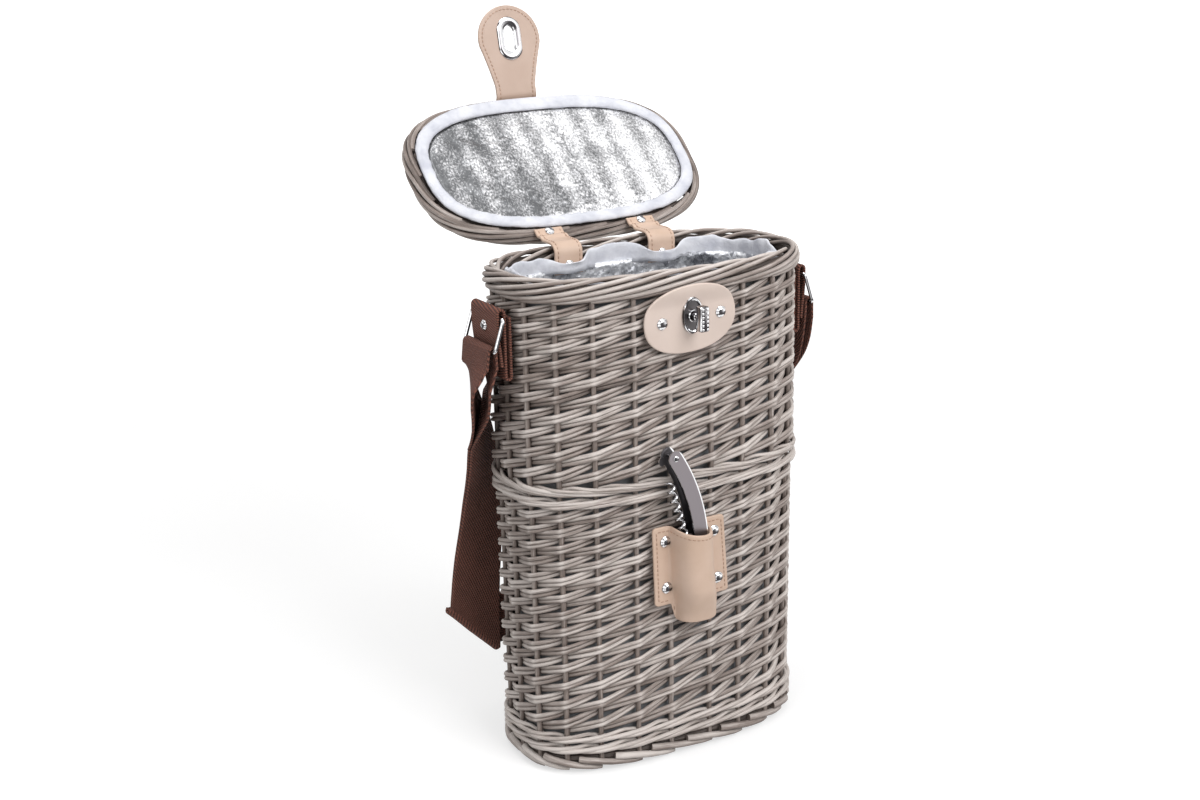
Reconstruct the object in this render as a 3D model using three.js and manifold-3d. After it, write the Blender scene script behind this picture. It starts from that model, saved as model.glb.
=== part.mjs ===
// Two-bottle wicker wine cooler basket with a lined lid, a leather hasp and a corkscrew in its pocket.
// Millimetres, Z up, front towards -Y, origin at the middle of the base's underside.
import * as THREE from "three";
import { mergeVertices } from "three/addons/utils/BufferGeometryUtils.js";
import Module from "manifold-3d";

const wasm = await Module();
wasm.setup();

// Driving sizes of the woven body
const body_height = 350;
const upper_wall_half_width = 111.5;
const rim_overhang = 2.3;
const lower_wall_inset = 1.4;
const foot_inset = 2;
const rim_half_width = upper_wall_half_width + rim_overhang;
const lower_wall_half_width = upper_wall_half_width - lower_wall_inset;
const foot_half_width = lower_wall_half_width - foot_inset;
const side_to_front_share = 0.44305;
const side_to_front = upper_wall_half_width * side_to_front_share;
const outline_power = 2.86;
const wall_thickness = 9;
const weave_relief = 4.5;
const lower_weave_courses = 26;
const upper_weave_courses = 20;
const lower_weave_inset = 10.7;
const upper_weave_inset = 2.2;
const band_below_rim = 148;
const band_middle_height = body_height - band_below_rim;
const band_height = 10;
const band_bulge = 0.8;
const rim_height = 18.7;
const rim_width = 13.4;
const rim_round = 4.6;
const foot_height = 20;
const foot_width = 13;
const foot_bulge = 1.6;
const foot_round = 3.5;
const floor_thickness = 9;
const seam_gap = 0.3;

// Foil bag inside the body
const bag_thickness = 1.6;
const bag_clearance = 0.5;
const bag_lead_in = 7;
const mouth_tape_height = 14;
const mouth_tape_thickness = 2.5;
const mouth_tape_drop = 5;

// Lid, given as it lies closed
const lid_overhang = 2.2;
const lid_half_width = rim_half_width + lid_overhang;
const lid_thickness = 14;
const lid_border_width = 16;
const lid_border_round = 4.6;
const lid_lift = 4.8;
const lid_panel_thickness = 9;
const lid_tape_inset = 8.6;
const lid_tape_half_width = lid_half_width - lid_tape_inset;
const lid_tape_width = 8.6;
const lid_tape_thickness = 2.2;
const lid_pad_thickness = 5;
const lid_pad_crown = 2.5;
const lid_hinge_clearance = 0.8;
const lid_hinge_drop = 2.2;
const lid_open_angle = 138;

// Leather
const leather_thickness = 2;
const hinge_strap_width = 22;
const hinge_strap_spacing = 75;
const hinge_strap_middle = 3.5;
const hinge_strap_hang = 20;
const hinge_strap_lid_length = 8.6;

// Hasp
const front_middle = -3;
const hasp_neck_width = 33;
const hasp_head_radius = 25.5;
const hasp_root_length = 38;
const hasp_bend_angle = 35;
const hasp_edge_clearance = 1.8;
const hasp_pivot_drop = 7;
const hasp_root_bend = 5;
const hasp_cut_clearance = 1.02;
const slot_width = 9.4;
const slot_length = 19;
const eyelet_rim = 4.6;
const eyelet_end_rim = 6.2;
const eyelet_plate = 1;
const eyelet_collar = 1;

// Turn lock on its patch
const lock_below_rim = 31.8;
const lock_height = body_height - lock_below_rim;
const patch_half_width = 35.4;
const patch_half_height = 23;
const patch_rivet_spacing = 44.6;
const patch_step_drop = 1.3;
const patch_step_length = 5.6;
const patch_step_start = body_height - rim_height - patch_step_drop;
const patch_step_end = patch_step_start + patch_step_length;
const lock_plate_half_width = 7.2;
const lock_plate_half_height = 12;
const lock_plate_thickness = 1.2;
const lock_boss_radius = 4.1;
const lock_boss_height = 1.5;
const spindle_radius = 2.6;
const spindle_reach = 8;
const knob_width = 6.8;
const knob_length = 17;
const knob_depth = 6.6;
const knob_bevel = 0.9;
const running_gap = 0.15;

// Corkscrew pocket
const pocket_left = -33;
const pocket_right = 25.5;
const pocket_below_band = 27;
const pocket_flap_height = 57;
const pocket_height = 72;
const pocket_top = band_middle_height - pocket_below_band;
const pocket_flap_bottom = pocket_top - pocket_flap_height;
const pocket_bottom = pocket_top - pocket_height;
const pocket_middle = -5.4;
const pocket_half_width = 14.6;
const pocket_depth = 21.6;
const pocket_roundness = 2.6;
const pocket_lean_share = 0.07;
const pocket_wall = 1.8;
const pocket_mouth_dip = 9;
const pocket_rivet_inset = 8.4;
const pocket_rivet_drop = 11.5;
const pocket_rivet_high = pocket_top - pocket_rivet_drop;
const pocket_rivet_low = pocket_flap_bottom + pocket_rivet_drop;

// Rivets
const rivet_radius = 4.1;
const rivet_height = 2.4;
const small_rivet_radius = 3.3;
const small_rivet_height = 1.6;

// Corkscrew
const handle_radius = 130;
const handle_below_band = 46;
const handle_middle_height = band_middle_height - handle_below_band;
const handle_middle_side = -2.5;
const handle_top_angle = 32.6;
const handle_bottom_angle = 11.5;
const handle_depth = 10.6;
const handle_half_thickness = 5.95;
const handle_wall = 1;
const handle_clearance = 0.6;
const pin_radius = 1.1;
const pin_head_radius = 2;
const pin_head_height = 0.6;
const pin_rear_height = 0.3;
const worm_wire_radius = 1.05;
const worm_outer_radius = 3.5;
const worm_pitch = 7;
const worm_curls = 6.5;
const worm_shank = 14;
const worm_lean_angle = 16.1;
const worm_axis_offset = 2.6;
const worm_pivot_drop = 4;
const worm_pivot_height = handle_middle_height - worm_pivot_drop;
const worm_pivot_side = -5.8;
const worm_boss_radius = 4.4;
const worm_hub_radius = 2.9;
const worm_hub_half_width = 3.1;
const lever_thickness = 0.8;
const lever_depth = 4.4;
const lever_offset = 10.4;
const lever_length = 40;
const lever_half_width = 4.7;
const knife_thickness = 0.8;
const knife_length = 44;
const knife_depth = 5.2;
const knife_ear = 4.2;

// Carrying rings and webbing
const webbing_width = 38;
const webbing_thickness = 1.8;
const tab_below_rim = 21;
const tab_length = 49;
const tab_end_step = 6;
const tab_front_step = 10;
const tab_top = body_height - tab_below_rim;
const tab_bottom = tab_top - tab_length;
const tab_back_top = tab_top - tab_end_step;
const tab_front_bottom = tab_bottom + tab_front_step;
const tab_seat = 0.3;
const tab_top_fold = 2.5;
const tab_fold_straight = 5;
const tab_bottom_fold = 1.9;
const tab_layer_gap = 0.7;
const ring_wire_radius = 1.3;
const ring_half_width = 22.2;
const ring_length = 22.4;
const ring_corner = 2.6;
const ring_bar_drop = 6.5;
const ring_bar_height = tab_top - ring_bar_drop;
const ring_tilt_angle = 18;
const strap_layers_thickness = 3.8;
const strap_ring_gap = 0.5;
const strap_leg_length = 12;

// Facet counts
const outline_steps = 56;
const arc_steps = 8;
const rivet_steps = 12;
const pin_steps = 12;
const worm_steps_per_curl = 8;
const worm_sides = 5;
const cut_overrun = 1;

// Materials
const willow = { color: 0x8f8578, roughness: 0.62, metalness: 0 };
const willow_dark = { color: 0x7b7166, roughness: 0.66, metalness: 0 };
const foil = { color: 0xc9ccd1, roughness: 0.28, metalness: 0.9 };
const tape = { color: 0xd9dae6, roughness: 0.85, metalness: 0 };
const leather = { color: 0xcdb6a2, roughness: 0.55, metalness: 0 };
const webbing = { color: 0x5a3a33, roughness: 0.9, metalness: 0 };
const chrome = { color: 0xd8d9dc, roughness: 0.12, metalness: 1 };
const steel = { color: 0x8c8a8e, roughness: 0.38, metalness: 1 };

const basket = new THREE.Group();

function radians(degrees) {
  return (degrees * Math.PI) / 180;
}

function addMesh(parent, name, geometry, look) {
  const mesh = new THREE.Mesh(geometry, new THREE.MeshStandardMaterial(look));
  mesh.name = name;
  parent.add(mesh);
  return mesh;
}

// A closed mesh from points and triangles, turned so that its faces look outwards
function closedMesh(points, triangles) {
  let volume = 0;
  for (const [a, b, c] of triangles) {
    const cross = new THREE.Vector3().crossVectors(points[b], points[c]);
    volume += points[a].dot(cross);
  }
  const index = triangles.flatMap(([a, b, c]) => (volume < 0 ? [a, c, b] : [a, b, c]));
  const geometry = new THREE.BufferGeometry().setFromPoints(points);
  geometry.setIndex(index);
  geometry.computeVertexNormals();
  return geometry;
}

// Rows of points joined into a skin: each row is a closed loop
function loft(rows, closedEnds) {
  const points = rows.flat();
  const count = rows[0].length;
  const triangles = [];
  const spans = closedEnds ? rows.length - 1 : rows.length;
  for (let i = 0; i < spans; i++) {
    const here = i * count;
    const next = ((i + 1) % rows.length) * count;
    for (let j = 0; j < count; j++) {
      const k = (j + 1) % count;
      triangles.push([here + j, next + j, next + k], [here + j, next + k, here + k]);
    }
  }
  if (closedEnds) {
    const last = (rows.length - 1) * count;
    for (let j = 1; j < count - 1; j++) {
      triangles.push([0, j, j + 1], [last, last + j + 1, last + j]);
    }
  }
  return closedMesh(points, triangles);
}

function toSolid(geometry) {
  const bare = geometry.index ? geometry.toNonIndexed() : geometry.clone();
  bare.deleteAttribute("normal");
  bare.deleteAttribute("uv");
  const merged = mergeVertices(bare, 1e-4);
  const vertProperties = merged.attributes.position.array;
  const triVerts = new Uint32Array(merged.index.array);
  return new wasm.Manifold(new wasm.Mesh({ numProp: 3, vertProperties, triVerts }));
}

function toGeometry(solid) {
  const mesh = solid.getMesh();
  const geometry = new THREE.BufferGeometry();
  geometry.setAttribute("position", new THREE.BufferAttribute(new Float32Array(mesh.vertProperties), 3));
  geometry.setIndex(new THREE.BufferAttribute(new Uint32Array(mesh.triVerts), 1));
  geometry.computeVertexNormals();
  return geometry;
}

function join(first, ...others) {
  return toGeometry(others.reduce((sum, g) => sum.add(toSolid(g)), toSolid(first)));
}

function common(first, second) {
  return toGeometry(toSolid(first).intersect(toSolid(second)));
}

function cut(first, ...tools) {
  return toGeometry(tools.reduce((rest, g) => rest.subtract(toSolid(g)), toSolid(first)));
}

// The body's outline is a rounded oblong: a superellipse whose half depth follows its half width
function outlinePoint(halfWidth, step, height) {
  const angle = (step * 2 * Math.PI) / outline_steps;
  const c = Math.cos(angle);
  const s = Math.sin(angle);
  const x = halfWidth * Math.sign(c) * Math.abs(c) ** (2 / outline_power);
  const y = (halfWidth - side_to_front) * Math.sign(s) * Math.abs(s) ** (2 / outline_power);
  return new THREE.Vector3(x, y, height);
}

function outlineRow(halfWidth, height) {
  return Array.from({ length: outline_steps }, (_, i) => outlinePoint(halfWidth, i, height));
}

// How far the outline stands from the middle plane at a place along the front
function depthAt(halfWidth, x) {
  const share = 1 - Math.abs(x / halfWidth) ** outline_power;
  return (halfWidth - side_to_front) * share ** (1 / outline_power);
}

// A ring whose section is a closed list of half widths and heights
function outlineRing(section) {
  return loft(section.map(([halfWidth, height]) => outlineRow(halfWidth, height)), false);
}

// A solid or cup whose section starts and ends on the axis
function outlineBody(section) {
  const rows = section.map(([halfWidth, height]) => outlineRow(halfWidth, height));
  const points = rows.flat();
  const bottom = points.push(new THREE.Vector3(0, 0, section[0][1])) - 1;
  const top = points.push(new THREE.Vector3(0, 0, section[section.length - 1][1])) - 1;
  const triangles = [];
  const last = (rows.length - 1) * outline_steps;
  for (let j = 0; j < outline_steps; j++) {
    const k = (j + 1) % outline_steps;
    triangles.push([bottom, k, j], [top, last + j, last + k]);
    for (let i = 0; i < last; i += outline_steps) {
      const up = i + outline_steps;
      triangles.push([i + j, i + k, up + k], [i + j, up + k, up + j]);
    }
  }
  return closedMesh(points, triangles);
}

// Points of an arc, in degrees, from one angle to the other
function arc(centre_a, centre_b, radius, from, to, steps = arc_steps) {
  return Array.from({ length: steps + 1 }, (_, i) => {
    const angle = radians(from + ((to - from) * i) / steps);
    return [centre_a + radius * Math.cos(angle), centre_b + radius * Math.sin(angle)];
  });
}

// The outline of a strip of even thickness that follows a list of points
function stripShape(path, thickness) {
  const sides = path.map(([a, b], i) => {
    const before = path[Math.max(i - 1, 0)];
    const after = path[Math.min(i + 1, path.length - 1)];
    const along = new THREE.Vector2(after[0] - before[0], after[1] - before[1]).normalize();
    const off = new THREE.Vector2(-along.y, along.x).multiplyScalar(thickness / 2);
    return [new THREE.Vector2(a + off.x, b + off.y), new THREE.Vector2(a - off.x, b - off.y)];
  });
  return new THREE.Shape([...sides.map((s) => s[0]), ...sides.map((s) => s[1]).reverse()]);
}

// A shape drawn in X and Z, made solid from the front face back to the rear one
function frontPlate(shape, front, rear, curveSegments = arc_steps) {
  const depth = rear - front;
  const geometry = new THREE.ExtrudeGeometry(shape, { depth, bevelEnabled: false, curveSegments });
  return geometry.rotateX(Math.PI / 2).translate(0, rear, 0);
}

// A shape drawn in Y and Z, made solid from one side to the other
function sidePlate(shape, left, right, curveSegments = arc_steps) {
  const depth = right - left;
  const geometry = new THREE.ExtrudeGeometry(shape, { depth, bevelEnabled: false, curveSegments });
  return geometry.rotateZ(Math.PI / 2).rotateY(Math.PI / 2).translate(left, 0, 0);
}

function ovalShape(x, z, halfWidth, halfHeight) {
  return new THREE.Shape().absellipse(x, z, halfWidth, halfHeight, 0, 2 * Math.PI, false, 0);
}

// An upright oblong with round ends
function oblongShape(x, z, width, length) {
  const r = width / 2;
  const straight = length / 2 - r;
  const shape = new THREE.Shape();
  shape.absarc(x, z + straight, r, 0, Math.PI, false);
  shape.absarc(x, z - straight, r, Math.PI, 2 * Math.PI, false);
  shape.closePath();
  return shape;
}

// A round bar along Y
function crossBar(x, z, radius, front, rear, steps = pin_steps) {
  const bar = new THREE.CylinderGeometry(radius, radius, rear - front, steps);
  return bar.translate(x, (front + rear) / 2, z);
}

// A domed rivet head: its flat back lies on z = 0 and its crown looks along +Z
function rivetHead(radius, height) {
  const profile = [new THREE.Vector2(0, 0), new THREE.Vector2(radius, 0)];
  const crown_shares = [[0.96, 0.4], [0.78, 0.74], [0.45, 0.94], [0, 1]];
  for (const [across, up] of crown_shares) {
    profile.push(new THREE.Vector2(radius * across, height * up));
  }
  return new THREE.LatheGeometry(profile, rivet_steps).rotateX(Math.PI / 2);
}

// Half widths of the outline where the pieces meet
const band_bottom = band_middle_height - band_height / 2;
const band_top = band_middle_height + band_height / 2;
const rim_bottom = body_height - rim_height;
const floor_top = floor_thickness;
const front_of_upper_wall = -(upper_wall_half_width - side_to_front);
const front_of_lower_wall = -(lower_wall_half_width - side_to_front);

// Woven floor: a flat panel inside the foot border
function makeFloor() {
  const edge = foot_half_width - foot_width - seam_gap;
  const section = [[edge, 0], [edge, floor_thickness]];
  addMesh(basket, "floor_panel", outlineBody(section), willow_dark);
}

// Foot border: the thick plaited edge that the basket stands on
function makeFoot() {
  const inner = foot_half_width - foot_width;
  const section = [
    [inner, 0],
    [foot_half_width - foot_bulge, 0],
    [foot_half_width + foot_bulge / 2, foot_round],
    [foot_half_width + foot_bulge, foot_height / 2],
    [foot_half_width + foot_bulge, foot_height - foot_round],
    [foot_half_width, foot_height],
    [inner + foot_round, foot_height],
    [inner, foot_height - foot_round],
  ];
  addMesh(basket, "foot_border", outlineRing(section), willow_dark);
}

// How far round the outline each stake stands, as shares of the way from the front's or the back's middle to
// the middle of an end
const stake_quarter_shares = [0.1161, 0.3048, 0.508, 0.6822, 0.8382];

// The stakes' places as shares of the whole way round, from the right end by the back and the left end
function stakeShares() {
  const before = stake_quarter_shares.map((share) => (1 - share) / 4).reverse();
  const after = stake_quarter_shares.map((share) => (1 + share) / 4);
  const half = [0, ...before, ...after];
  return [...half, ...half.map((share) => share + 0.5)];
}

// The outline's step at a share of the way round it
function stepAtShare(halfWidth, share) {
  const fine = 20;
  const walked = [0];
  for (let i = 1; i <= outline_steps * fine; i++) {
    const step = outlinePoint(halfWidth, (i - 1) / fine, 0).distanceTo(outlinePoint(halfWidth, i / fine, 0));
    walked.push(walked[i - 1] + step);
  }
  const target = share * walked[walked.length - 1];
  const i = Math.max(1, walked.findIndex((length) => length >= target));
  return (i - (walked[i] - target) / (walked[i] - walked[i - 1])) / fine;
}

// The skin between a column of points on a stake and one midway to the next stake
function stitch(stake, midway) {
  const triangles = [];
  let i = 0;
  let j = 0;
  while (i < stake.length - 1 || j < midway.length - 1) {
    const stake_next = i < stake.length - 1 ? stake[i + 1][1] : Infinity;
    const midway_next = j < midway.length - 1 ? midway[j + 1][1] : Infinity;
    if (stake_next < midway_next) {
      triangles.push([stake[i][0], stake[i + 1][0], midway[j][0]]);
      i += 1;
    } else {
      triangles.push([stake[i][0], midway[j + 1][0], midway[j][0]]);
      j += 1;
    }
  }
  return triangles;
}

// A wall of pairs of rods that climb one course from stake to stake: each pair stands out where it passes in
// front of a stake, on every second course, and the stake lies bare between two such pairs
function wovenSkin(bottom, top, start, courses) {
  const points = [];
  const span = top[1] - bottom[1];
  const halfWidthAt = (height) => bottom[0] + ((top[0] - bottom[0]) * (height - bottom[1])) / span;
  const rise = top[1] - start;
  const heights = Array.from({ length: courses }, (_, i) => {
    const up_share = i / courses;
    return start + rise * (1.15 * up_share - 0.15 * up_share ** 2);
  });
  const column = (share, depthOf) => {
    const step = stepAtShare(halfWidthAt(start), share);
    const rows = [[bottom[1], 0], ...heights.map((height, i) => [height, depthOf(i)]), [top[1], weave_relief / 2]];
    const kept = rows.filter(([, depth]) => depth !== null);
    return kept.map(([height, depth]) => {
      const place = points.push(outlinePoint(halfWidthAt(height) - depth, step, height)) - 1;
      return [place, height];
    });
  };
  const shares = stakeShares();
  const stakes = shares.map((share) => column(share, (i) => (i % 2 === 1 ? 0 : weave_relief)));
  const midways = shares.map((share, i) => {
    const next = i + 1 < shares.length ? shares[i + 1] : 1;
    return column((share + next) / 2, (row) => (row % 2 === 1 ? weave_relief / 2 : null));
  });
  const low = points.push(new THREE.Vector3(0, 0, bottom[1])) - 1;
  const high = points.push(new THREE.Vector3(0, 0, top[1])) - 1;
  const triangles = [];
  stakes.forEach((stake, i) => {
    const after = midways[i];
    const before = midways[(i + midways.length - 1) % midways.length];
    triangles.push(...stitch(stake, before).map(([a, b, c]) => [a, c, b]), ...stitch(stake, after));
    for (const [first, second] of [[before, stake], [stake, after]]) {
      triangles.push([low, first[0][0], second[0][0]]);
      triangles.push([high, second[second.length - 1][0], first[first.length - 1][0]]);
    }
  });
  return closedMesh(points, triangles);
}

function wovenWall(bottom, top, start, courses) {
  const inside = [
    [bottom[0] - wall_thickness, bottom[1] - cut_overrun],
    [bottom[0] - wall_thickness, bottom[1]],
    [top[0] - wall_thickness, top[1]],
    [top[0] - wall_thickness, top[1] + cut_overrun],
  ];
  return cut(wovenSkin(bottom, top, start, courses), outlineBody(inside));
}

// Woven walls below and above the band
function makeWalls() {
  const low_bottom = [foot_half_width + foot_bulge / 2, foot_height + seam_gap];
  const low_top = [lower_wall_half_width, band_bottom - seam_gap];
  const high_bottom = [upper_wall_half_width, band_top + seam_gap];
  const high_top = [upper_wall_half_width, rim_bottom - seam_gap];
  const low_start = low_bottom[1] + lower_weave_inset;
  const high_start = high_bottom[1] + upper_weave_inset;
  addMesh(basket, "lower_wall", wovenWall(low_bottom, low_top, low_start, lower_weave_courses), willow);
  addMesh(basket, "upper_wall", wovenWall(high_bottom, high_top, high_start, upper_weave_courses), willow);
}

// Twisted band round the middle
function makeBand() {
  const outer = upper_wall_half_width + band_bulge;
  const inner = lower_wall_half_width - wall_thickness;
  const round = band_height / 4;
  const section = [
    [outer - round, band_bottom],
    [outer, band_bottom + round],
    [outer, band_top - round],
    [outer - round, band_top],
    [inner, band_top],
    [inner, band_bottom],
  ];
  addMesh(basket, "middle_band", outlineRing(section), willow);
}

// Rolled top border
function makeRim() {
  const inner = rim_half_width - rim_width;
  const section = [
    [rim_half_width - rim_round, rim_bottom],
    [rim_half_width, rim_bottom + rim_round],
    [rim_half_width, body_height - rim_round],
    [rim_half_width - rim_round * 0.3, body_height - rim_round * 0.3],
    [rim_half_width - rim_round, body_height],
    [inner + rim_round, body_height],
    [inner + rim_round * 0.3, body_height - rim_round * 0.3],
    [inner, body_height - rim_round],
    [inner, rim_bottom + rim_round],
    [inner + rim_round, rim_bottom],
  ];
  addMesh(basket, "top_border", outlineRing(section), willow);
}

// Foil bag that lines the body, with the tape that binds its mouth
function makeBag() {
  const tape_outer = rim_half_width - rim_width - bag_clearance;
  const tape_top = body_height - mouth_tape_drop;
  const tape_bottom = tape_top - mouth_tape_height;
  const upper_outer = lower_wall_half_width - wall_thickness - bag_clearance;
  const lower_outer = foot_half_width + foot_bulge / 2 - wall_thickness - bag_clearance;
  const bag_floor = floor_top + bag_clearance;
  const foot_inner = foot_half_width - foot_width - bag_clearance;
  const foot_step = foot_height - foot_round;
  const above_foot = foot_height + foot_round;
  const mouth_height = tape_bottom - seam_gap;
  const lead_in_height = mouth_height - bag_lead_in;
  const section = [
    [foot_inner, bag_floor],
    [foot_inner, foot_step],
    [lower_outer, above_foot],
    [upper_outer, band_bottom],
    [upper_outer, lead_in_height],
    [tape_outer, mouth_height],
    [tape_outer - bag_thickness, mouth_height],
    [upper_outer - bag_thickness, lead_in_height - bag_thickness],
    [upper_outer - bag_thickness, band_bottom],
    [lower_outer - bag_thickness, above_foot],
    [foot_inner - bag_thickness, foot_step],
    [foot_inner - bag_thickness, bag_floor + bag_thickness],
  ];
  addMesh(basket, "foil_bag", outlineBody(section), foil);
  const tape_inner = tape_outer - mouth_tape_thickness;
  const tape_section = [
    [tape_outer, tape_bottom],
    [tape_outer, tape_top - mouth_tape_thickness / 2],
    [tape_outer - mouth_tape_thickness / 2, tape_top],
    [tape_inner, tape_top - mouth_tape_thickness / 2],
    [tape_inner, tape_bottom],
  ];
  addMesh(basket, "mouth_tape", outlineRing(tape_section), tape);
}

// The lid turns about a line behind and just under its back edge
const lid_half_depth = lid_half_width - side_to_front;
const lid_bottom = body_height + lid_lift;
const lid_top = lid_bottom + lid_thickness;
const hinge_y = lid_half_depth + lid_hinge_clearance;
const hinge_z = lid_bottom - lid_hinge_drop;
const lidTurn = new THREE.Group();
lidTurn.position.set(0, hinge_y, hinge_z);
lidTurn.rotation.x = -radians(lid_open_angle);
const lid = new THREE.Group();
lid.position.set(0, -hinge_y, -hinge_z);
lidTurn.add(lid);
basket.add(lidTurn);

// Woven lid, drawn closed: its border, its panel and the foil pad with its tape
function makeLid() {
  const inner = lid_half_width - lid_border_width;
  const border = [
    [lid_half_width - lid_border_round, lid_bottom],
    [lid_half_width - lid_border_round * 0.3, lid_bottom + lid_border_round * 0.3],
    [lid_half_width, lid_bottom + lid_border_round],
    [lid_half_width, lid_top - lid_border_round],
    [lid_half_width - lid_border_round * 0.3, lid_top - lid_border_round * 0.3],
    [lid_half_width - lid_border_round, lid_top],
    [inner, lid_top],
    [inner, lid_bottom],
  ];
  addMesh(lid, "lid_border", outlineRing(border), willow);
  const panel_edge = inner - seam_gap;
  const panel = [[panel_edge, lid_top - lid_panel_thickness], [panel_edge, lid_top]];
  addMesh(lid, "lid_panel", outlineBody(panel), willow);
  const tape_inner = lid_tape_half_width - lid_tape_width;
  const tape_top = lid_bottom - seam_gap;
  const tape_bottom = tape_top - lid_tape_thickness;
  const edging = [
    [tape_inner, tape_bottom],
    [lid_tape_half_width - lid_tape_thickness / 2, tape_bottom],
    [lid_tape_half_width, tape_top - lid_tape_thickness / 2],
    [lid_tape_half_width, tape_top],
    [tape_inner, tape_top],
  ];
  addMesh(lid, "lid_tape", outlineRing(edging), tape);
  const pad_edge = tape_inner - seam_gap;
  const pad_top = lid_top - lid_panel_thickness - seam_gap;
  const pad_bottom = pad_top - lid_pad_thickness;
  const pad_crown = pad_bottom - lid_pad_crown;
  const pad = [
    [pad_edge * 0.35 + side_to_front * 0.65, pad_crown],
    [pad_edge * 0.75 + side_to_front * 0.25, pad_bottom - lid_pad_crown * 0.6],
    [pad_edge, pad_bottom],
    [pad_edge, pad_top],
  ];
  addMesh(lid, "lid_pad", outlineBody(pad), foil);
}

// A rivet whose crown looks along a direction, with its back at a place
function addRivet(parent, name, place, direction, radius, height) {
  const rivet = addMesh(parent, name, rivetHead(radius, height), chrome);
  rivet.position.set(...place);
  rivet.quaternion.setFromUnitVectors(new THREE.Vector3(0, 0, 1), new THREE.Vector3(...direction).normalize());
  return rivet;
}

// Hinge straps: leather from the inside of the body, over the rim and onto the lid's underside
function makeHingeStraps() {
  const half = leather_thickness / 2;
  const tape_inner = rim_half_width - rim_width - bag_clearance - mouth_tape_thickness;
  const over_rim = body_height + seam_gap + half;
  const hang_bottom = body_height - hinge_strap_hang;
  const tape_gap = lid_half_width - lid_tape_half_width;
  const open = radians(lid_open_angle);
  const outward = [-Math.cos(open), Math.sin(open)];
  const inward = [-Math.sin(open), -Math.cos(open)];
  const face = half + seam_gap - lid_hinge_drop;
  const onLid = (along) => [
    hinge_y + outward[0] * along + inward[0] * face,
    hinge_z + outward[1] * along + inward[1] * face,
  ];
  const bend = hinge_strap_hang / 4;
  for (const [name, side] of [["left", -1], ["right", 1]]) {
    const middle = hinge_strap_middle + (side * hinge_strap_spacing) / 2;
    const far_edge = Math.abs(middle) + hinge_strap_width / 2;
    const inside = depthAt(tape_inner, far_edge) - 2 * seam_gap - half;
    const path = [
      [inside, hang_bottom],
      [inside, body_height - bend],
      [inside + bend * 0.3, body_height - bend * 0.25],
      [inside + bend, over_rim],
      [hinge_y - bend * 2, over_rim],
      [hinge_y - bend, over_rim + bend * 0.12],
      [hinge_y - bend * 0.35, over_rim + bend * 0.45],
      onLid(bend * 0.35),
      onLid(tape_gap - seam_gap),
    ];
    const shape = stripShape(path, leather_thickness);
    const strap = sidePlate(shape, middle - hinge_strap_width / 2, middle + hinge_strap_width / 2);
    addMesh(basket, "hinge_strap_" + name, strap, leather);
    const rivet_y = inside - half - seam_gap;
    const rivet_z = hang_bottom + hinge_strap_hang / 4 + small_rivet_radius / 2;
    const wall_place = [middle, rivet_y, rivet_z];
    addRivet(basket, "wall_rivet_" + name, wall_place, [0, -1, 0], small_rivet_radius, small_rivet_height);
    const lid_place_y = hinge_y - tape_gap + seam_gap + small_rivet_radius;
    const lid_place_z = lid_bottom - seam_gap - leather_thickness - seam_gap;
    const lid_place = [middle, lid_place_y, lid_place_z];
    addRivet(lid, "lid_rivet_" + name, lid_place, [0, 0, -1], small_rivet_radius, small_rivet_height);
  }
}

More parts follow.
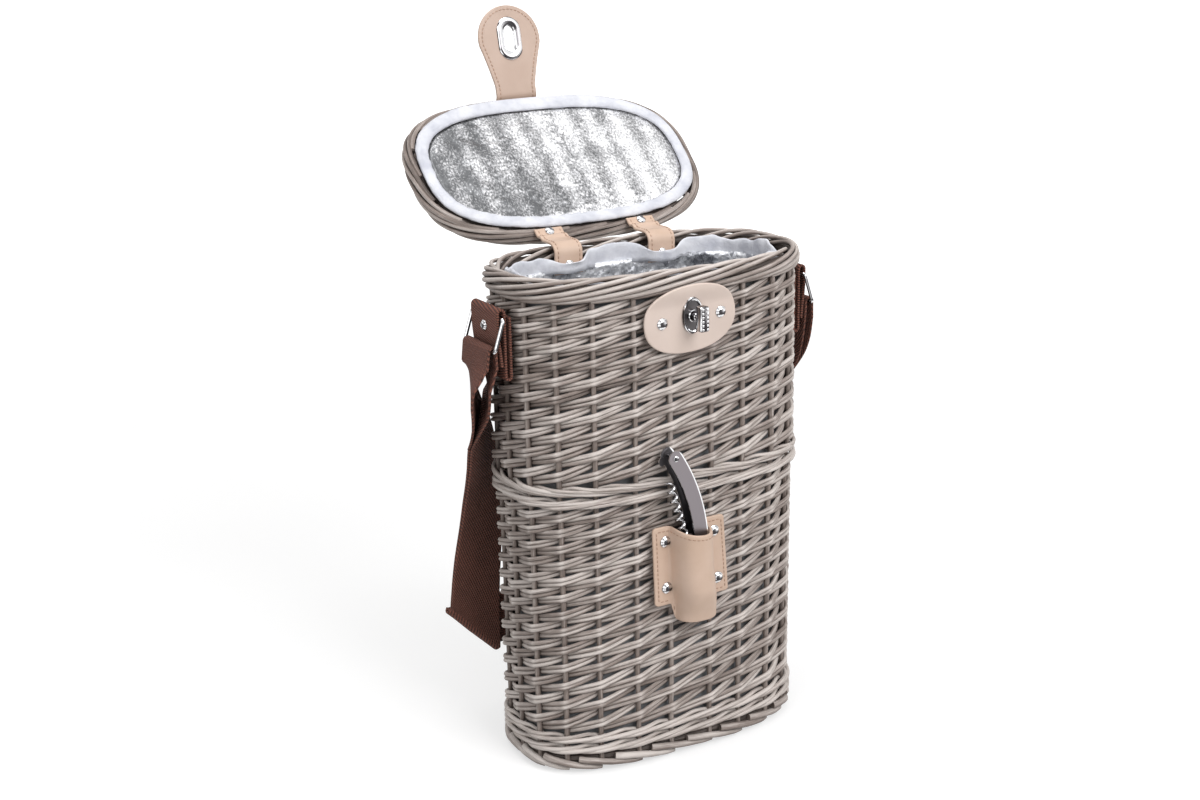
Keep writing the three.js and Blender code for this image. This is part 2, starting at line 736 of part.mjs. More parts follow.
// Leather hasp: a root riveted on the lid and laid over its front edge, and the tab that bends at its end
function makeHasp() {
  const half = leather_thickness / 2;
  const leather_middle = lid_top + seam_gap + half;
  const pivot_y = -(lid_half_depth + hasp_edge_clearance + half);
  const pivot_z = lid_top - hasp_pivot_drop;
  const half_neck = hasp_neck_width / 2;
  const root_back = pivot_y + hasp_root_length;
  const bend = hasp_root_bend;
  const side = [
    [pivot_y, pivot_z + hasp_cut_clearance],
    ...arc(pivot_y + bend, leather_middle - bend, bend, 180, 90, 5),
    [root_back, leather_middle],
  ];
  const low = front_middle - half_neck;
  const bent = sidePlate(stripShape(side, leather_thickness), low, low + hasp_neck_width);
  const plan = new THREE.Shape();
  plan.moveTo(front_middle - half_neck, pivot_y - bend);
  plan.lineTo(front_middle + half_neck, pivot_y - bend);
  plan.absarc(front_middle, root_back - half_neck, half_neck, 0, Math.PI, false);
  plan.closePath();
  const planDepth = hasp_pivot_drop + 2 * bend;
  const planSolid = new THREE.ExtrudeGeometry(plan, { depth: planDepth, bevelEnabled: false, curveSegments: 10 });
  planSolid.translate(0, 0, pivot_z);
  addMesh(lid, "hasp_root", common(bent, planSolid), leather);
  const rivet_z = leather_middle + half + seam_gap;
  for (const [name, sign] of [["left", -1], ["right", 1]]) {
    const place = [front_middle + (sign * half_neck) / 2, root_back - half_neck, rivet_z];
    addRivet(lid, "hasp_rivet_" + name, place, [0, 0, 1], rivet_radius, rivet_height);
  }
  const hasp = new THREE.Group();
  hasp.position.set(front_middle, pivot_y, pivot_z);
  hasp.rotation.x = radians(hasp_bend_angle);
  lid.add(hasp);
  const reach = pivot_z - lock_height;
  const tab = new THREE.Shape();
  tab.moveTo(half_neck, -hasp_cut_clearance);
  tab.lineTo(-half_neck, -hasp_cut_clearance);
  tab.lineTo(-half_neck, -reach * 0.2);
  tab.quadraticCurveTo(-half_neck, -reach * 0.55, -hasp_head_radius * 0.97, -reach * 0.9);
  const side_angle = Math.acos(0.97);
  tab.absarc(0, -reach, hasp_head_radius, Math.PI - side_angle, 2 * Math.PI + side_angle, false);
  tab.quadraticCurveTo(half_neck, -reach * 0.55, half_neck, -reach * 0.2);
  tab.closePath();
  const hole_width = slot_width + 2 * eyelet_collar + 2 * seam_gap;
  const hole_length = slot_length + 2 * eyelet_collar + 2 * seam_gap;
  tab.holes.push(oblongShape(0, -reach, hole_width, hole_length));
  const flat = (shape, bottom, top) => {
    const plate = new THREE.ExtrudeGeometry(shape, { depth: top - bottom, bevelEnabled: false, curveSegments: 8 });
    return plate.translate(0, 0, bottom);
  };
  addMesh(hasp, "hasp_tab", flat(tab, -half, half), leather);
  const plate_outer = half + seam_gap + eyelet_plate;
  const ringShape = (width, length) => {
    const shape = oblongShape(0, -reach, width, length);
    shape.holes.push(oblongShape(0, -reach, slot_width, slot_length));
    return shape;
  };
  const wide = ringShape(slot_width + 2 * eyelet_rim, slot_length + 2 * eyelet_end_rim);
  const collar = ringShape(slot_width + 2 * eyelet_collar, slot_length + 2 * eyelet_collar);
  const lower = flat(wide, -plate_outer, -half - seam_gap);
  const upper = flat(wide, half + seam_gap, plate_outer);
  const through = flat(collar, -plate_outer, plate_outer);
  addMesh(hasp, "hasp_eyelet", join(through, lower, upper), chrome);
}

// Oval leather patch with the turn lock
function makeLock() {
  const patch_rear = front_of_upper_wall - seam_gap;
  const patch_front = patch_rear - leather_thickness;
  const on_rim_front = -(rim_half_width - side_to_front) - seam_gap - leather_thickness;
  const oval = ovalShape(front_middle, lock_height, patch_half_width, patch_half_height);
  const prism = frontPlate(oval, on_rim_front - cut_overrun, patch_rear + cut_overrun, 30);
  const flat_y = patch_rear - leather_thickness / 2;
  const stepped_y = on_rim_front + leather_thickness / 2;
  const step = [
    [flat_y, lock_height - patch_half_height - cut_overrun],
    [flat_y, patch_step_start],
    [stepped_y, patch_step_end],
    [stepped_y, lock_height + patch_half_height + cut_overrun],
  ];
  const low = front_middle - patch_half_width - cut_overrun;
  const high = front_middle + patch_half_width + cut_overrun;
  const bent = sidePlate(stripShape(step, leather_thickness), low, high);
  addMesh(basket, "lock_patch", common(bent, prism), leather);
  for (const [name, side] of [["left", -1], ["right", 1]]) {
    const place = [front_middle + (side * patch_rivet_spacing) / 2, patch_front - seam_gap, lock_height];
    addRivet(basket, "patch_rivet_" + name, place, [0, -1, 0], small_rivet_radius, small_rivet_height);
  }
  const plate_rear = patch_front - seam_gap;
  const plate_front = plate_rear - lock_plate_thickness;
  const plate_shape = ovalShape(front_middle, lock_height, lock_plate_half_width, lock_plate_half_height);
  const plate = frontPlate(plate_shape, plate_front, plate_rear, 24);
  const boss_front = plate_front - lock_boss_height;
  const boss = crossBar(front_middle, lock_height, lock_boss_radius, boss_front, plate_rear - seam_gap, 20);
  const bore_radius = spindle_radius + running_gap;
  const bore = crossBar(front_middle, lock_height, bore_radius, boss_front - cut_overrun, plate_rear + cut_overrun, 20);
  addMesh(basket, "lock_plate", cut(join(plate, boss), bore), chrome);
  const wing_rear = plate_front - spindle_reach;
  const wing_front = wing_rear - knob_depth;
  const spindle = crossBar(front_middle, lock_height, spindle_radius, wing_rear - knob_bevel, plate_rear, 20);
  const wing_shape = oblongShape(front_middle, lock_height, knob_width - 2 * knob_bevel, knob_length - 2 * knob_bevel);
  const wing = new THREE.ExtrudeGeometry(wing_shape, {
    depth: knob_depth - 2 * knob_bevel,
    bevelSize: knob_bevel,
    bevelThickness: knob_bevel,
    bevelSegments: 2,
    curveSegments: 8,
  });
  wing.rotateX(Math.PI / 2).translate(0, wing_rear - knob_bevel, 0);
  addMesh(basket, "turn_knob", join(wing, spindle), chrome);
}

// Corkscrew pocket: one leather piece whose middle stands off the wall as an open tube
function makePocket() {
  const rear = front_of_lower_wall - seam_gap;
  const front = rear - leather_thickness;
  const power = 2 / pocket_roundness;
  const tubePoint = (halfWidth, reach, angle) => {
    const c = Math.cos(angle);
    const s = Math.sin(angle);
    return new THREE.Vector2(
      pocket_middle + halfWidth * Math.sign(c) * Math.abs(c) ** power,
      rear - reach * Math.abs(s) ** power,
    );
  };
  const foot_angle = Math.asin((leather_thickness / pocket_depth) ** (1 / power));
  const steps = 22;
  const outer = Array.from({ length: steps + 1 }, (_, i) => {
    const angle = Math.PI - foot_angle - ((Math.PI - 2 * foot_angle) * i) / steps;
    return tubePoint(pocket_half_width, pocket_depth, angle);
  });
  const inner = Array.from({ length: steps + 1 }, (_, i) => {
    return tubePoint(pocket_half_width - pocket_wall, pocket_depth - pocket_wall, (Math.PI * i) / steps);
  });
  const shape = new THREE.Shape([
    new THREE.Vector2(pocket_left, rear),
    new THREE.Vector2(pocket_left, front),
    ...outer,
    new THREE.Vector2(pocket_right, front),
    new THREE.Vector2(pocket_right, rear),
    ...inner,
  ]);
  const depth = pocket_top - pocket_bottom;
  const whole = new THREE.ExtrudeGeometry(shape, { depth, bevelEnabled: false });
  whole.translate(0, 0, pocket_bottom);
  const flap_cut_height = pocket_flap_bottom - pocket_bottom + cut_overrun;
  const flap_cut_z = pocket_flap_bottom - flap_cut_height / 2;
  const cut_depth = leather_thickness + 2 * cut_overrun;
  const cut_y = rear - leather_thickness / 2;
  const left_width = pocket_middle - pocket_half_width - pocket_left + cut_overrun;
  const left_cut = new THREE.BoxGeometry(left_width, cut_depth, flap_cut_height);
  left_cut.translate(pocket_middle - pocket_half_width - left_width / 2, cut_y, flap_cut_z);
  const right_width = pocket_right - pocket_middle - pocket_half_width + cut_overrun;
  const right_cut = new THREE.BoxGeometry(right_width, cut_depth, flap_cut_height);
  right_cut.translate(pocket_middle + pocket_half_width + right_width / 2, cut_y, flap_cut_z);
  const mouth_radius = (pocket_half_width ** 2 + pocket_mouth_dip ** 2) / (2 * pocket_mouth_dip);
  const mouth_z = pocket_top + mouth_radius - pocket_mouth_dip;
  const mouth = crossBar(pocket_middle, mouth_z, mouth_radius, rear - pocket_depth - cut_overrun, rear + cut_overrun, 40);
  const pocket = cut(whole, left_cut, right_cut, mouth);
  const mid_height = (pocket_top + pocket_bottom) / 2;
  const lean = new THREE.Matrix4().makeShear(0, 0, 0, 0, -pocket_lean_share, 0);
  pocket.translate(0, 0, -mid_height).applyMatrix4(lean).translate(0, 0, mid_height);
  addMesh(basket, "corkscrew_pocket", pocket, leather);
  for (const [row, z] of [["high", pocket_rivet_high], ["low", pocket_rivet_low]]) {
    const shift = -pocket_lean_share * (z - mid_height);
    const left_x = pocket_left + pocket_rivet_inset + shift;
    const right_x = pocket_right - pocket_rivet_inset + shift;
    for (const [side, x] of [["left", left_x], ["right", right_x]]) {
      const name = "pocket_rivet_" + row + "_" + side;
      addRivet(basket, name, [x, front - seam_gap, z], [0, -1, 0], rivet_radius, rivet_height);
    }
  }
}

// The corkscrew's middle plane and the circle that its handle follows
const corkscrew_y =
  -(upper_wall_half_width + band_bulge - side_to_front) - handle_clearance - handle_half_thickness;
const arc_x = handle_middle_side - handle_radius;
const arc_z = handle_middle_height;

function onHandle(radius_offset, angle) {
  const r = handle_radius + radius_offset;
  return [arc_x + r * Math.cos(radians(angle)), arc_z + r * Math.sin(radians(angle))];
}

// A band along the handle's arc with round ends, drawn in X and Z
function handleBand(inner_offset, outer_offset, low_angle, high_angle, roundEnds) {
  const steps = 12;
  const outer = arc(arc_x, arc_z, handle_radius + outer_offset, low_angle, high_angle, steps);
  const inner = arc(arc_x, arc_z, handle_radius + inner_offset, high_angle, low_angle, steps);
  const middle = (inner_offset + outer_offset) / 2;
  const r = (outer_offset - inner_offset) / 2;
  const topEnd = arc(...onHandle(middle, high_angle), r, high_angle, high_angle + 180, 6).slice(1, -1);
  const lowEnd = arc(...onHandle(middle, low_angle), r, low_angle + 180, low_angle + 360, 6).slice(1, -1);
  const points = roundEnds ? [...outer, ...topEnd, ...inner, ...lowEnd] : [...outer, ...inner];
  return new THREE.Shape(points.map(([x, z]) => new THREE.Vector2(x, z)));
}

// Waiter's corkscrew: a bent channel handle with its worm, lever, knife and pins
function makeCorkscrew() {
  const tool = new THREE.Group();
  basket.add(tool);
  const half_depth = handle_depth / 2;
  const front = corkscrew_y - handle_half_thickness;
  const rear = corkscrew_y + handle_half_thickness;
  const cheek = handleBand(-half_depth, half_depth, -handle_bottom_angle, handle_top_angle, true);
  const front_cheek = frontPlate(cheek, front, front + handle_wall);
  const rear_cheek = frontPlate(cheek, rear - handle_wall, rear);
  const boss_shape = ovalShape(worm_pivot_side, worm_pivot_height, worm_boss_radius, worm_boss_radius);
  const bosses = [
    frontPlate(boss_shape, front, front + handle_wall),
    frontPlate(boss_shape, rear - handle_wall, rear),
  ];
  const spine_top = handle_top_angle - 2;
  const spine = handleBand(half_depth - handle_wall, half_depth, -handle_bottom_angle, spine_top, false);
  const spine_bar = frontPlate(spine, front, rear);
  const knife_pin = onHandle(0, handle_top_angle);
  const lever_pin = onHandle(0, -handle_bottom_angle);
  const worm_pin = [worm_pivot_side, worm_pivot_height];
  const hole_radius = pin_radius + running_gap;
  const holes = [knife_pin, lever_pin, worm_pin].map(([x, z]) =>
    crossBar(x, z, hole_radius, front - cut_overrun, rear + cut_overrun),
  );
  addMesh(tool, "corkscrew_handle", cut(join(spine_bar, front_cheek, rear_cheek, ...bosses), ...holes), steel);
  for (const [name, [x, z]] of [["knife_pin", knife_pin], ["lever_pin", lever_pin], ["worm_pin", worm_pin]]) {
    const head_front = front - running_gap - pin_head_height;
    const head_rear = rear + running_gap + pin_rear_height;
    const front_head = crossBar(x, z, pin_head_radius, head_front, front - running_gap);
    const rear_head = crossBar(x, z, pin_head_radius, rear + running_gap, head_rear);
    addMesh(tool, name, join(crossBar(x, z, pin_radius, head_front, head_rear), front_head, rear_head), chrome);
  }
  makeWorm(tool, worm_pin, hole_radius);
  makeLever(tool, lever_pin, hole_radius);
  makeKnife(tool, knife_pin, hole_radius);
}

// The worm: a straight shank that opens into one unbroken coil and ends in a point
function makeWorm(tool, [pivot_x, pivot_z], hole_radius) {
  const coil_radius = worm_outer_radius - worm_wire_radius;
  const steps = Math.round(worm_curls * worm_steps_per_curl);
  const path = [];
  const shank_steps = 3;
  const shank_start = 0;
  for (let i = 0; i < shank_steps; i++) {
    path.push(new THREE.Vector3(0, 0, shank_start + ((worm_shank - shank_start) * i) / shank_steps));
  }
  for (let i = 0; i <= steps; i++) {
    const turn = (i * 2 * Math.PI) / worm_steps_per_curl;
    const open_share = Math.min(1, i / (worm_steps_per_curl / 2));
    const r = coil_radius * open_share;
    const along = worm_shank + (worm_pitch * i) / worm_steps_per_curl;
    path.push(new THREE.Vector3(r * Math.cos(turn), r * Math.sin(turn), along));
  }
  const rows = path.map((p, i) => {
    const before = path[Math.max(i - 1, 0)];
    const after = path[Math.min(i + 1, path.length - 1)];
    const along = new THREE.Vector3().subVectors(after, before).normalize();
    const out = new THREE.Vector3(p.x, p.y, 0);
    if (out.length() < coil_radius / 10) out.set(1, 0, 0);
    out.addScaledVector(along, -out.dot(along)).normalize();
    const across = new THREE.Vector3().crossVectors(along, out);
    const from_tip = path.length - 1 - i;
    const taper_share = Math.min(1, 0.15 + from_tip * 0.2);
    return Array.from({ length: worm_sides }, (_, k) => {
      const angle = (k * 2 * Math.PI) / worm_sides;
      const r = worm_wire_radius * taper_share;
      return p.clone().addScaledVector(out, r * Math.cos(angle)).addScaledVector(across, r * Math.sin(angle));
    });
  });
  let least = Infinity;
  for (let i = 0; i < path.length; i++) {
    for (let j = i + worm_steps_per_curl / 2; j < path.length; j++) {
      least = Math.min(least, path[i].distanceTo(path[j]) - 2 * worm_wire_radius);
    }
  }
  console.log("corkscrew worm, least gap to itself: " + least.toFixed(2) + " mm");
  const coil = loft(rows, true);
  coil.translate(-worm_axis_offset, 0, 0).rotateY(-radians(worm_lean_angle)).translate(pivot_x, corkscrew_y, pivot_z);
  const hub_front = corkscrew_y - worm_hub_half_width;
  const hub_rear = corkscrew_y + worm_hub_half_width;
  const hub = crossBar(pivot_x, pivot_z, worm_hub_radius, hub_front, hub_rear, 16);
  const bore = crossBar(pivot_x, pivot_z, hole_radius, hub_front - cut_overrun, hub_rear + cut_overrun);
  addMesh(tool, "corkscrew_worm", cut(join(hub, coil), bore), chrome);
}

// The two-step lever: two cheeks joined by a web on the open side of the channel
function makeLever(tool, [pin_x, pin_z], hole_radius) {
  const turn = (lever_length / handle_radius) * (180 / Math.PI);
  const low = -handle_bottom_angle;
  const inner = -lever_offset;
  const cheek = handleBand(inner, inner + lever_depth, low + turn * 0.25, low + turn, true);
  const eye = ovalShape(pin_x, pin_z, worm_hub_radius, worm_hub_radius);
  const front = corkscrew_y - lever_half_width;
  const rear = corkscrew_y + lever_half_width;
  const neck = new THREE.Shape([
    new THREE.Vector2(pin_x - worm_hub_radius * 0.8, pin_z - worm_hub_radius * 0.6),
    new THREE.Vector2(pin_x + worm_hub_radius * 0.8, pin_z + worm_hub_radius * 0.6),
    new THREE.Vector2(...onHandle(inner + lever_depth, low + turn * 0.4)),
    new THREE.Vector2(...onHandle(inner, low + turn * 0.3)),
  ]);
  const cheeks = [cheek, eye, neck].flatMap((shape) => [
    frontPlate(shape, front, front + lever_thickness),
    frontPlate(shape, rear - lever_thickness, rear),
  ]);
  const web = handleBand(inner, inner + lever_thickness, low + turn * 0.3, low + turn * 0.6, false);
  const bore = crossBar(pin_x, pin_z, hole_radius, front - cut_overrun, rear + cut_overrun);
  addMesh(tool, "corkscrew_lever", cut(join(frontPlate(web, front, rear), ...cheeks), bore), chrome);
}

// The foil knife, folded beside the worm, with the ear that a fingernail catches
function makeKnife(tool, [pin_x, pin_z], hole_radius) {
  const rear = corkscrew_y + handle_half_thickness - handle_wall - running_gap / 2;
  const front = rear - knife_thickness;
  const turn = (knife_length / handle_radius) * (180 / Math.PI);
  const high = handle_top_angle;
  const back = arc(arc_x, arc_z, handle_radius + knife_depth / 2, high - turn * 0.12, high - turn, 10);
  const edge = arc(arc_x, arc_z, handle_radius - knife_depth / 2, high - turn * 0.9, high - turn * 0.12, 8);
  const blade = new THREE.Shape([...back, ...edge].map(([x, z]) => new THREE.Vector2(x, z)));
  const heel_radius = handle_depth / 2 - handle_wall - running_gap;
  const heel = ovalShape(pin_x, pin_z, heel_radius, heel_radius);
  const neck = handleBand(-knife_depth / 2, knife_depth / 2, high - turn * 0.2, high, false);
  const ear_at = onHandle(-handle_depth / 2 - knife_ear / 6, high - 0.5);
  const ear = ovalShape(...ear_at, knife_ear * 0.6, knife_ear * 0.75);
  const plates = [neck, heel, ear].map((shape) => frontPlate(shape, front, rear));
  const bore = crossBar(pin_x, pin_z, hole_radius, front - cut_overrun, rear + cut_overrun);
  addMesh(tool, "foil_knife", cut(join(frontPlate(blade, front, rear), ...plates), bore), steel);
}

// Webbing tabs on the two ends, drawn outwards from the wall
const tab_back = tab_seat + webbing_thickness / 2;
const tab_inner = tab_back + 2 * tab_bottom_fold;
const tab_outer = tab_inner + 2 * tab_top_fold;
const ring_bar_out = tab_inner + tab_top_fold;
const tab_front_low = tab_inner + webbing_thickness + tab_layer_gap;

function tabShape(side) {
  const half = webbing_thickness / 2;
  const fold_z = tab_top - half - tab_top_fold;
  const low_z = tab_bottom + half + tab_bottom_fold;
  const span = fold_z - tab_front_bottom;
  const path = [
    [tab_back, tab_back_top],
    ...arc(tab_back + tab_bottom_fold, low_z, tab_bottom_fold, 180, 360, 6),
    ...arc(ring_bar_out, fold_z, tab_top_fold, 180, 0, 8),
    [tab_outer, fold_z - tab_fold_straight],
    [tab_outer - tab_layer_gap, fold_z - span * 0.5],
    [tab_front_low, tab_front_bottom],
  ];
  const wall_x = upper_wall_half_width;
  return stripShape(path.map(([out, z]) => [side * (wall_x + out), z]), webbing_thickness);
}

function makeRing(side) {
  const corners = [];
  const straight = ring_half_width - ring_corner;
  corners.push(...arc(straight, -ring_corner, ring_corner, 90, 0, 4));
  corners.push(...arc(straight, -ring_length + ring_corner, ring_corner, 0, -90, 4));
  corners.push(...arc(-straight, -ring_length + ring_corner, ring_corner, -90, -180, 4));
  corners.push(...arc(-straight, -ring_corner, ring_corner, 180, 90, 4));
  const sides = 8;
  const rows = corners.map(([y, z], i) => {
    const before = corners[(i + corners.length - 1) % corners.length];
    const after = corners[(i + 1) % corners.length];
    const along = new THREE.Vector3(0, after[0] - before[0], after[1] - before[1]).normalize();
    const flat = new THREE.Vector3(1, 0, 0);
    const out = new THREE.Vector3().crossVectors(along, flat);
    return Array.from({ length: sides }, (_, k) => {
      const angle = (k * 2 * Math.PI) / sides;
      const point = new THREE.Vector3(0, y, z);
      point.addScaledVector(flat, ring_wire_radius * Math.cos(angle));
      return point.addScaledVector(out, ring_wire_radius * Math.sin(angle));
    });
  });
  const ring = loft(rows, false);
  ring.rotateY(-side * radians(ring_tilt_angle));
  return ring.translate(side * (upper_wall_half_width + ring_bar_out), 0, ring_bar_height);
}

function makeTabs() {
  for (const [name, side] of [["left", -1], ["right", 1]]) {
    const tab = frontPlate(tabShape(side), -webbing_width / 2, webbing_width / 2);
    addMesh(basket, "strap_tab_" + name, tab, webbing);
    const rivet_x = side * (upper_wall_half_width + tab_outer + webbing_thickness / 2);
    const rivet_z = ring_bar_height - ring_length / 3;
    const place = [rivet_x, 0, rivet_z];
    addRivet(basket, "tab_rivet_" + name, place, [side, 0, 0], small_rivet_radius, small_rivet_height);
    addMesh(basket, "ring_" + name, makeRing(side), chrome);
  }
}

const ring_low_x = upper_wall_half_width + ring_bar_out + ring_length * Math.sin(radians(ring_tilt_angle));
const ring_low_z = ring_bar_height - ring_length * Math.cos(radians(ring_tilt_angle));
const strap_start = ring_low_z - strap_leg_length;
// The strap's middle line as shares of the ring's reach, the rim's half depth and the strap's start height,
// with the way it faces and how far its rows slant, in degrees. It hangs from the left ring, is folded
// slantwise behind the body's corner, and rises behind the body to the right ring.
const rim_half_depth = rim_half_width - side_to_front;
const strap_down_shares = [
  [-1, 0, 1, 0, 0],
  [-1.0024, 0.0932, 0.9371, 26, 0],
  [-0.9651, 0.264, 0.8783, 38, 0],
  [-0.9253, 0.4348, 0.823, 47, 0],
  [-0.8618, 0.6366, 0.7261, 59, 0],
  [-0.8245, 0.8075, 0.6293, 69, 0],
  [-0.8149, 0.9084, 0.536, 77, 0],
  [-0.83, 0.9627, 0.4426, 84, 0],
  [-0.8443, 0.9829, 0.3665, 88, 8],
  [-0.8515, 0.9907, 0.3112, 90, 25],
  [-0.8539, 0.9915, 0.2559, 90, 45],
];
const strap_up_shares = [
  [-0.8539, 1.0738, 0.2559, -90, 45],
  [-0.7307, 1.0745, 0.2593, -90, 24],
  [-0.5719, 1.0792, 0.2645, -90, 4],
  [-0.3177, 1.087, 0.2749, -90, 0],
  [-0.0397, 1.0947, 0.2939, -90, 0],
  [0.2383, 1.1025, 0.332, -88, 0],
  [0.4925, 1.087, 0.4011, -84, 0],
  [0.6751, 1.0093, 0.5014, -74, 0],
  [0.7863, 0.8696, 0.6155, -64, 0],
  [0.8618, 0.6522, 0.7261, -55, 0],
  [0.9214, 0.4193, 0.8299, -43, 0],
  [0.9809, 0.1553, 0.9267, -22, 0],
  [1, 0, 1, 0, 0],
];

function strapRoute(shares) {
  return shares.map(([x, y, z, facing, slant]) => {
    const place = new THREE.Vector3(x * ring_low_x, y * rim_half_depth, z * strap_start);
    return { place, facing, slant };
  });
}

// Rows across the strap along a route, each with four corners
function strapRows(route, startAlong, endAlong) {
  const curve = new THREE.CatmullRomCurve3(route.map(({ place }) => place), false, "centripetal");
  const last = route.length - 1;
  const per_leg = 2;
  return Array.from({ length: last * per_leg + 1 }, (_, i) => {
    const u = i / per_leg;
    const low = Math.min(Math.floor(u), last - 1);
    const mixed = (key) => radians(route[low][key] + (route[low + 1][key] - route[low][key]) * (u - low));
    const along = curve.getTangent(u / last);
    if (i === 0 && startAlong) along.copy(startAlong);
    if (i === last * per_leg && endAlong) along.copy(endAlong);
    const facing = mixed("facing");
    const face = new THREE.Vector3(-Math.cos(facing), Math.sin(facing), 0);
    face.addScaledVector(along, -face.dot(along)).normalize();
    const across = new THREE.Vector3().crossVectors(along, face);
    across.addScaledVector(along, Math.tan(mixed("slant")));
    return strapRow(curve.getPoint(u / last), across, face);
  });
}

function strapRow(centre, across, face) {
  const half_width = webbing_width / 2;
  const half_thickness = strap_layers_thickness / 2;
  const corner = (a, b) =>
    centre.clone().addScaledVector(across, a * half_width).addScaledVector(face, b * half_thickness);
  return [corner(1, 1), corner(-1, 1), corner(-1, -1), corner(1, -1)];
}

// Shoulder strap: webbing looped over both rings
function makeStrap() {
  const half_width = webbing_width / 2;
  const half_thickness = strap_layers_thickness / 2;
  const down = strapRoute(strap_down_shares);
  const up = strapRoute(strap_up_shares);
  const front = down[down.length - 1].place;
  const back = up[0].place;
  const fold = front.clone().add(back).multiplyScalar(0.5);
  const fold_radius = front.distanceTo(back) / 2;
  const towards_back = back.clone().sub(front).normalize();
  const into_fold = new THREE.Vector3(1, 0, 1).normalize();
  const slanted = new THREE.Vector3(1, 0, -1);
  const turn = [45, 90, 135].map((angle) => {
    const face = towards_back.clone().multiplyScalar(Math.cos(radians(angle)));
    face.addScaledVector(into_fold, Math.sin(radians(angle)));
    return strapRow(fold.clone().addScaledVector(face, -fold_radius), slanted, face);
  });
  const rows = [
    ...strapRows(down, new THREE.Vector3(0, 0, -1), null),
    ...turn,
    ...strapRows(up, null, new THREE.Vector3(0, 0, 1)),
  ];
  const loopRadius = ring_wire_radius + strap_ring_gap + webbing_thickness / 2;
  const legs = half_thickness - webbing_thickness / 2;
  const loops = [-1, 1].map((side) => {
    const x = side * ring_low_x;
    const path = [
      [x - legs, strap_start - cut_overrun],
      [x - loopRadius, ring_low_z - strap_leg_length / 3],
      ...arc(x, ring_low_z, loopRadius, 180, 0, 8),
      [x + loopRadius, ring_low_z - strap_leg_length / 3],
      [x + legs, strap_start - cut_overrun],
    ];
    return frontPlate(stripShape(path, webbing_thickness), -half_width, half_width);
  });
  addMesh(basket, "shoulder_strap", join(loft(rows, true), ...loops), webbing);
}

makeFloor();
makeFoot();
makeWalls();
makeBand();
makeRim();
makeBag();
makeLid();
makeHingeStraps();
makeHasp();
makeLock();
makePocket();
makeCorkscrew();
makeTabs();
makeStrap();

export default basket;
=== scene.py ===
import bmesh
import bpy
import math
import numpy as np
from mathutils import Matrix, Vector


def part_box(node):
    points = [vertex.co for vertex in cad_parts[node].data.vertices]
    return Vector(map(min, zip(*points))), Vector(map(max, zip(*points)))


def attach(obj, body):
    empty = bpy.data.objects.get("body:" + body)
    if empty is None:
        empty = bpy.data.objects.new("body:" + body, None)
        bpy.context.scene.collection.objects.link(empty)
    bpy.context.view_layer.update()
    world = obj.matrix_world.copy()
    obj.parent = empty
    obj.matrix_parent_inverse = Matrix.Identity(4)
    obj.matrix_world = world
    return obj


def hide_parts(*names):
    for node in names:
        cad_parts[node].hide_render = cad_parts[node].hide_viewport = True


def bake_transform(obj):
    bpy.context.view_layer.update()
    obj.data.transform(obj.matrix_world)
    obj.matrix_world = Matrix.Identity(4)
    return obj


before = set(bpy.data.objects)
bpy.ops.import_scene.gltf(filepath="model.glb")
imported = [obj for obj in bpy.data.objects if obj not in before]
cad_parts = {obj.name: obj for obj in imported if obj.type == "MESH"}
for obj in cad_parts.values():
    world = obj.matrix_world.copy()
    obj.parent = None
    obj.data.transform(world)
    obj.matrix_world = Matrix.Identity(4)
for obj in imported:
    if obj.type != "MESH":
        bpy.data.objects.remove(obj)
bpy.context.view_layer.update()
scene = bpy.context.scene
rng = np.random.default_rng(7)

# Camera, fitted to the photograph
CAMERA_AZIMUTH = math.radians(-29.67)
CAMERA_ELEVATION = math.radians(16.44)
CAMERA_ROLL = math.radians(-1.16)
CAMERA_TARGET = Vector((-0.0366, 0.0, 0.2501))
CAMERA_DISTANCE = 1.1899
CAMERA_LENS = 52.15


def add_object(name, data):
    obj = bpy.data.objects.new(name, data)
    scene.collection.objects.link(obj)
    return obj


def place_camera():
    data = bpy.data.cameras.new("camera")
    data.sensor_width = 36
    data.lens = CAMERA_LENS
    data.clip_start = 0.01
    data.clip_end = 60
    az, el, roll = CAMERA_AZIMUTH, CAMERA_ELEVATION, CAMERA_ROLL
    back = Vector((math.sin(az) * math.cos(el), -math.cos(az) * math.cos(el), math.sin(el)))
    right = (-back).cross(Vector((0, 0, 1))).normalized()
    up = right.cross(-back)
    rolled_right = right * math.cos(roll) + up * math.sin(roll)
    rolled_up = up * math.cos(roll) - right * math.sin(roll)
    matrix = Matrix((rolled_right, rolled_up, back)).transposed().to_4x4()
    matrix.translation = CAMERA_TARGET + back * CAMERA_DISTANCE
    scene.camera = add_object("camera", data)
    scene.camera.matrix_world = matrix


place_camera()
scene.view_settings.view_transform = "Standard"

# Sizes of the frame, in millimetres; a half is half the length of an oval, whose depth follows from it
SIDE_TO_FRONT = 49.4
POWER = 2.86
RIM_HALF = 113.8
RIM_WIDTH = 13.4
RIM_MIDDLE = 341.0
UPPER_HALF = 111.5
LOWER_HALF = 110.1
FOOT_HALF = 108.1
WALL = 9.0
BAND_MIDDLE = 202.0
LID_HALF = 116.0
LID_MIDDLE = 361.8
HINGE_Y = 67.4
HINGE_Z = 352.6
LID_ANGLE = math.radians(138)
HASP_X = -3.0
HASP_Y = -69.4
HASP_Z = 361.8
HASP_ANGLE = math.radians(35)
LOCK_Z = 318.2
STAKE_PLACES = [16, 42, 70, 94, 115.5]
PERIMETER = 551.16
ACROSS = np.array([1.0, 0, 0])
UP = np.array([0, 0, 1.0])


# Numbers
def smooth(t):
    t = np.clip(t, 0, 1)
    return t * t * (3 - 2 * t)


def unit(v):
    v = np.asarray(v, float)
    return v / np.linalg.norm(v, axis=-1, keepdims=True)


def signed_power(v, power):
    return np.sign(v) * np.abs(v) ** power


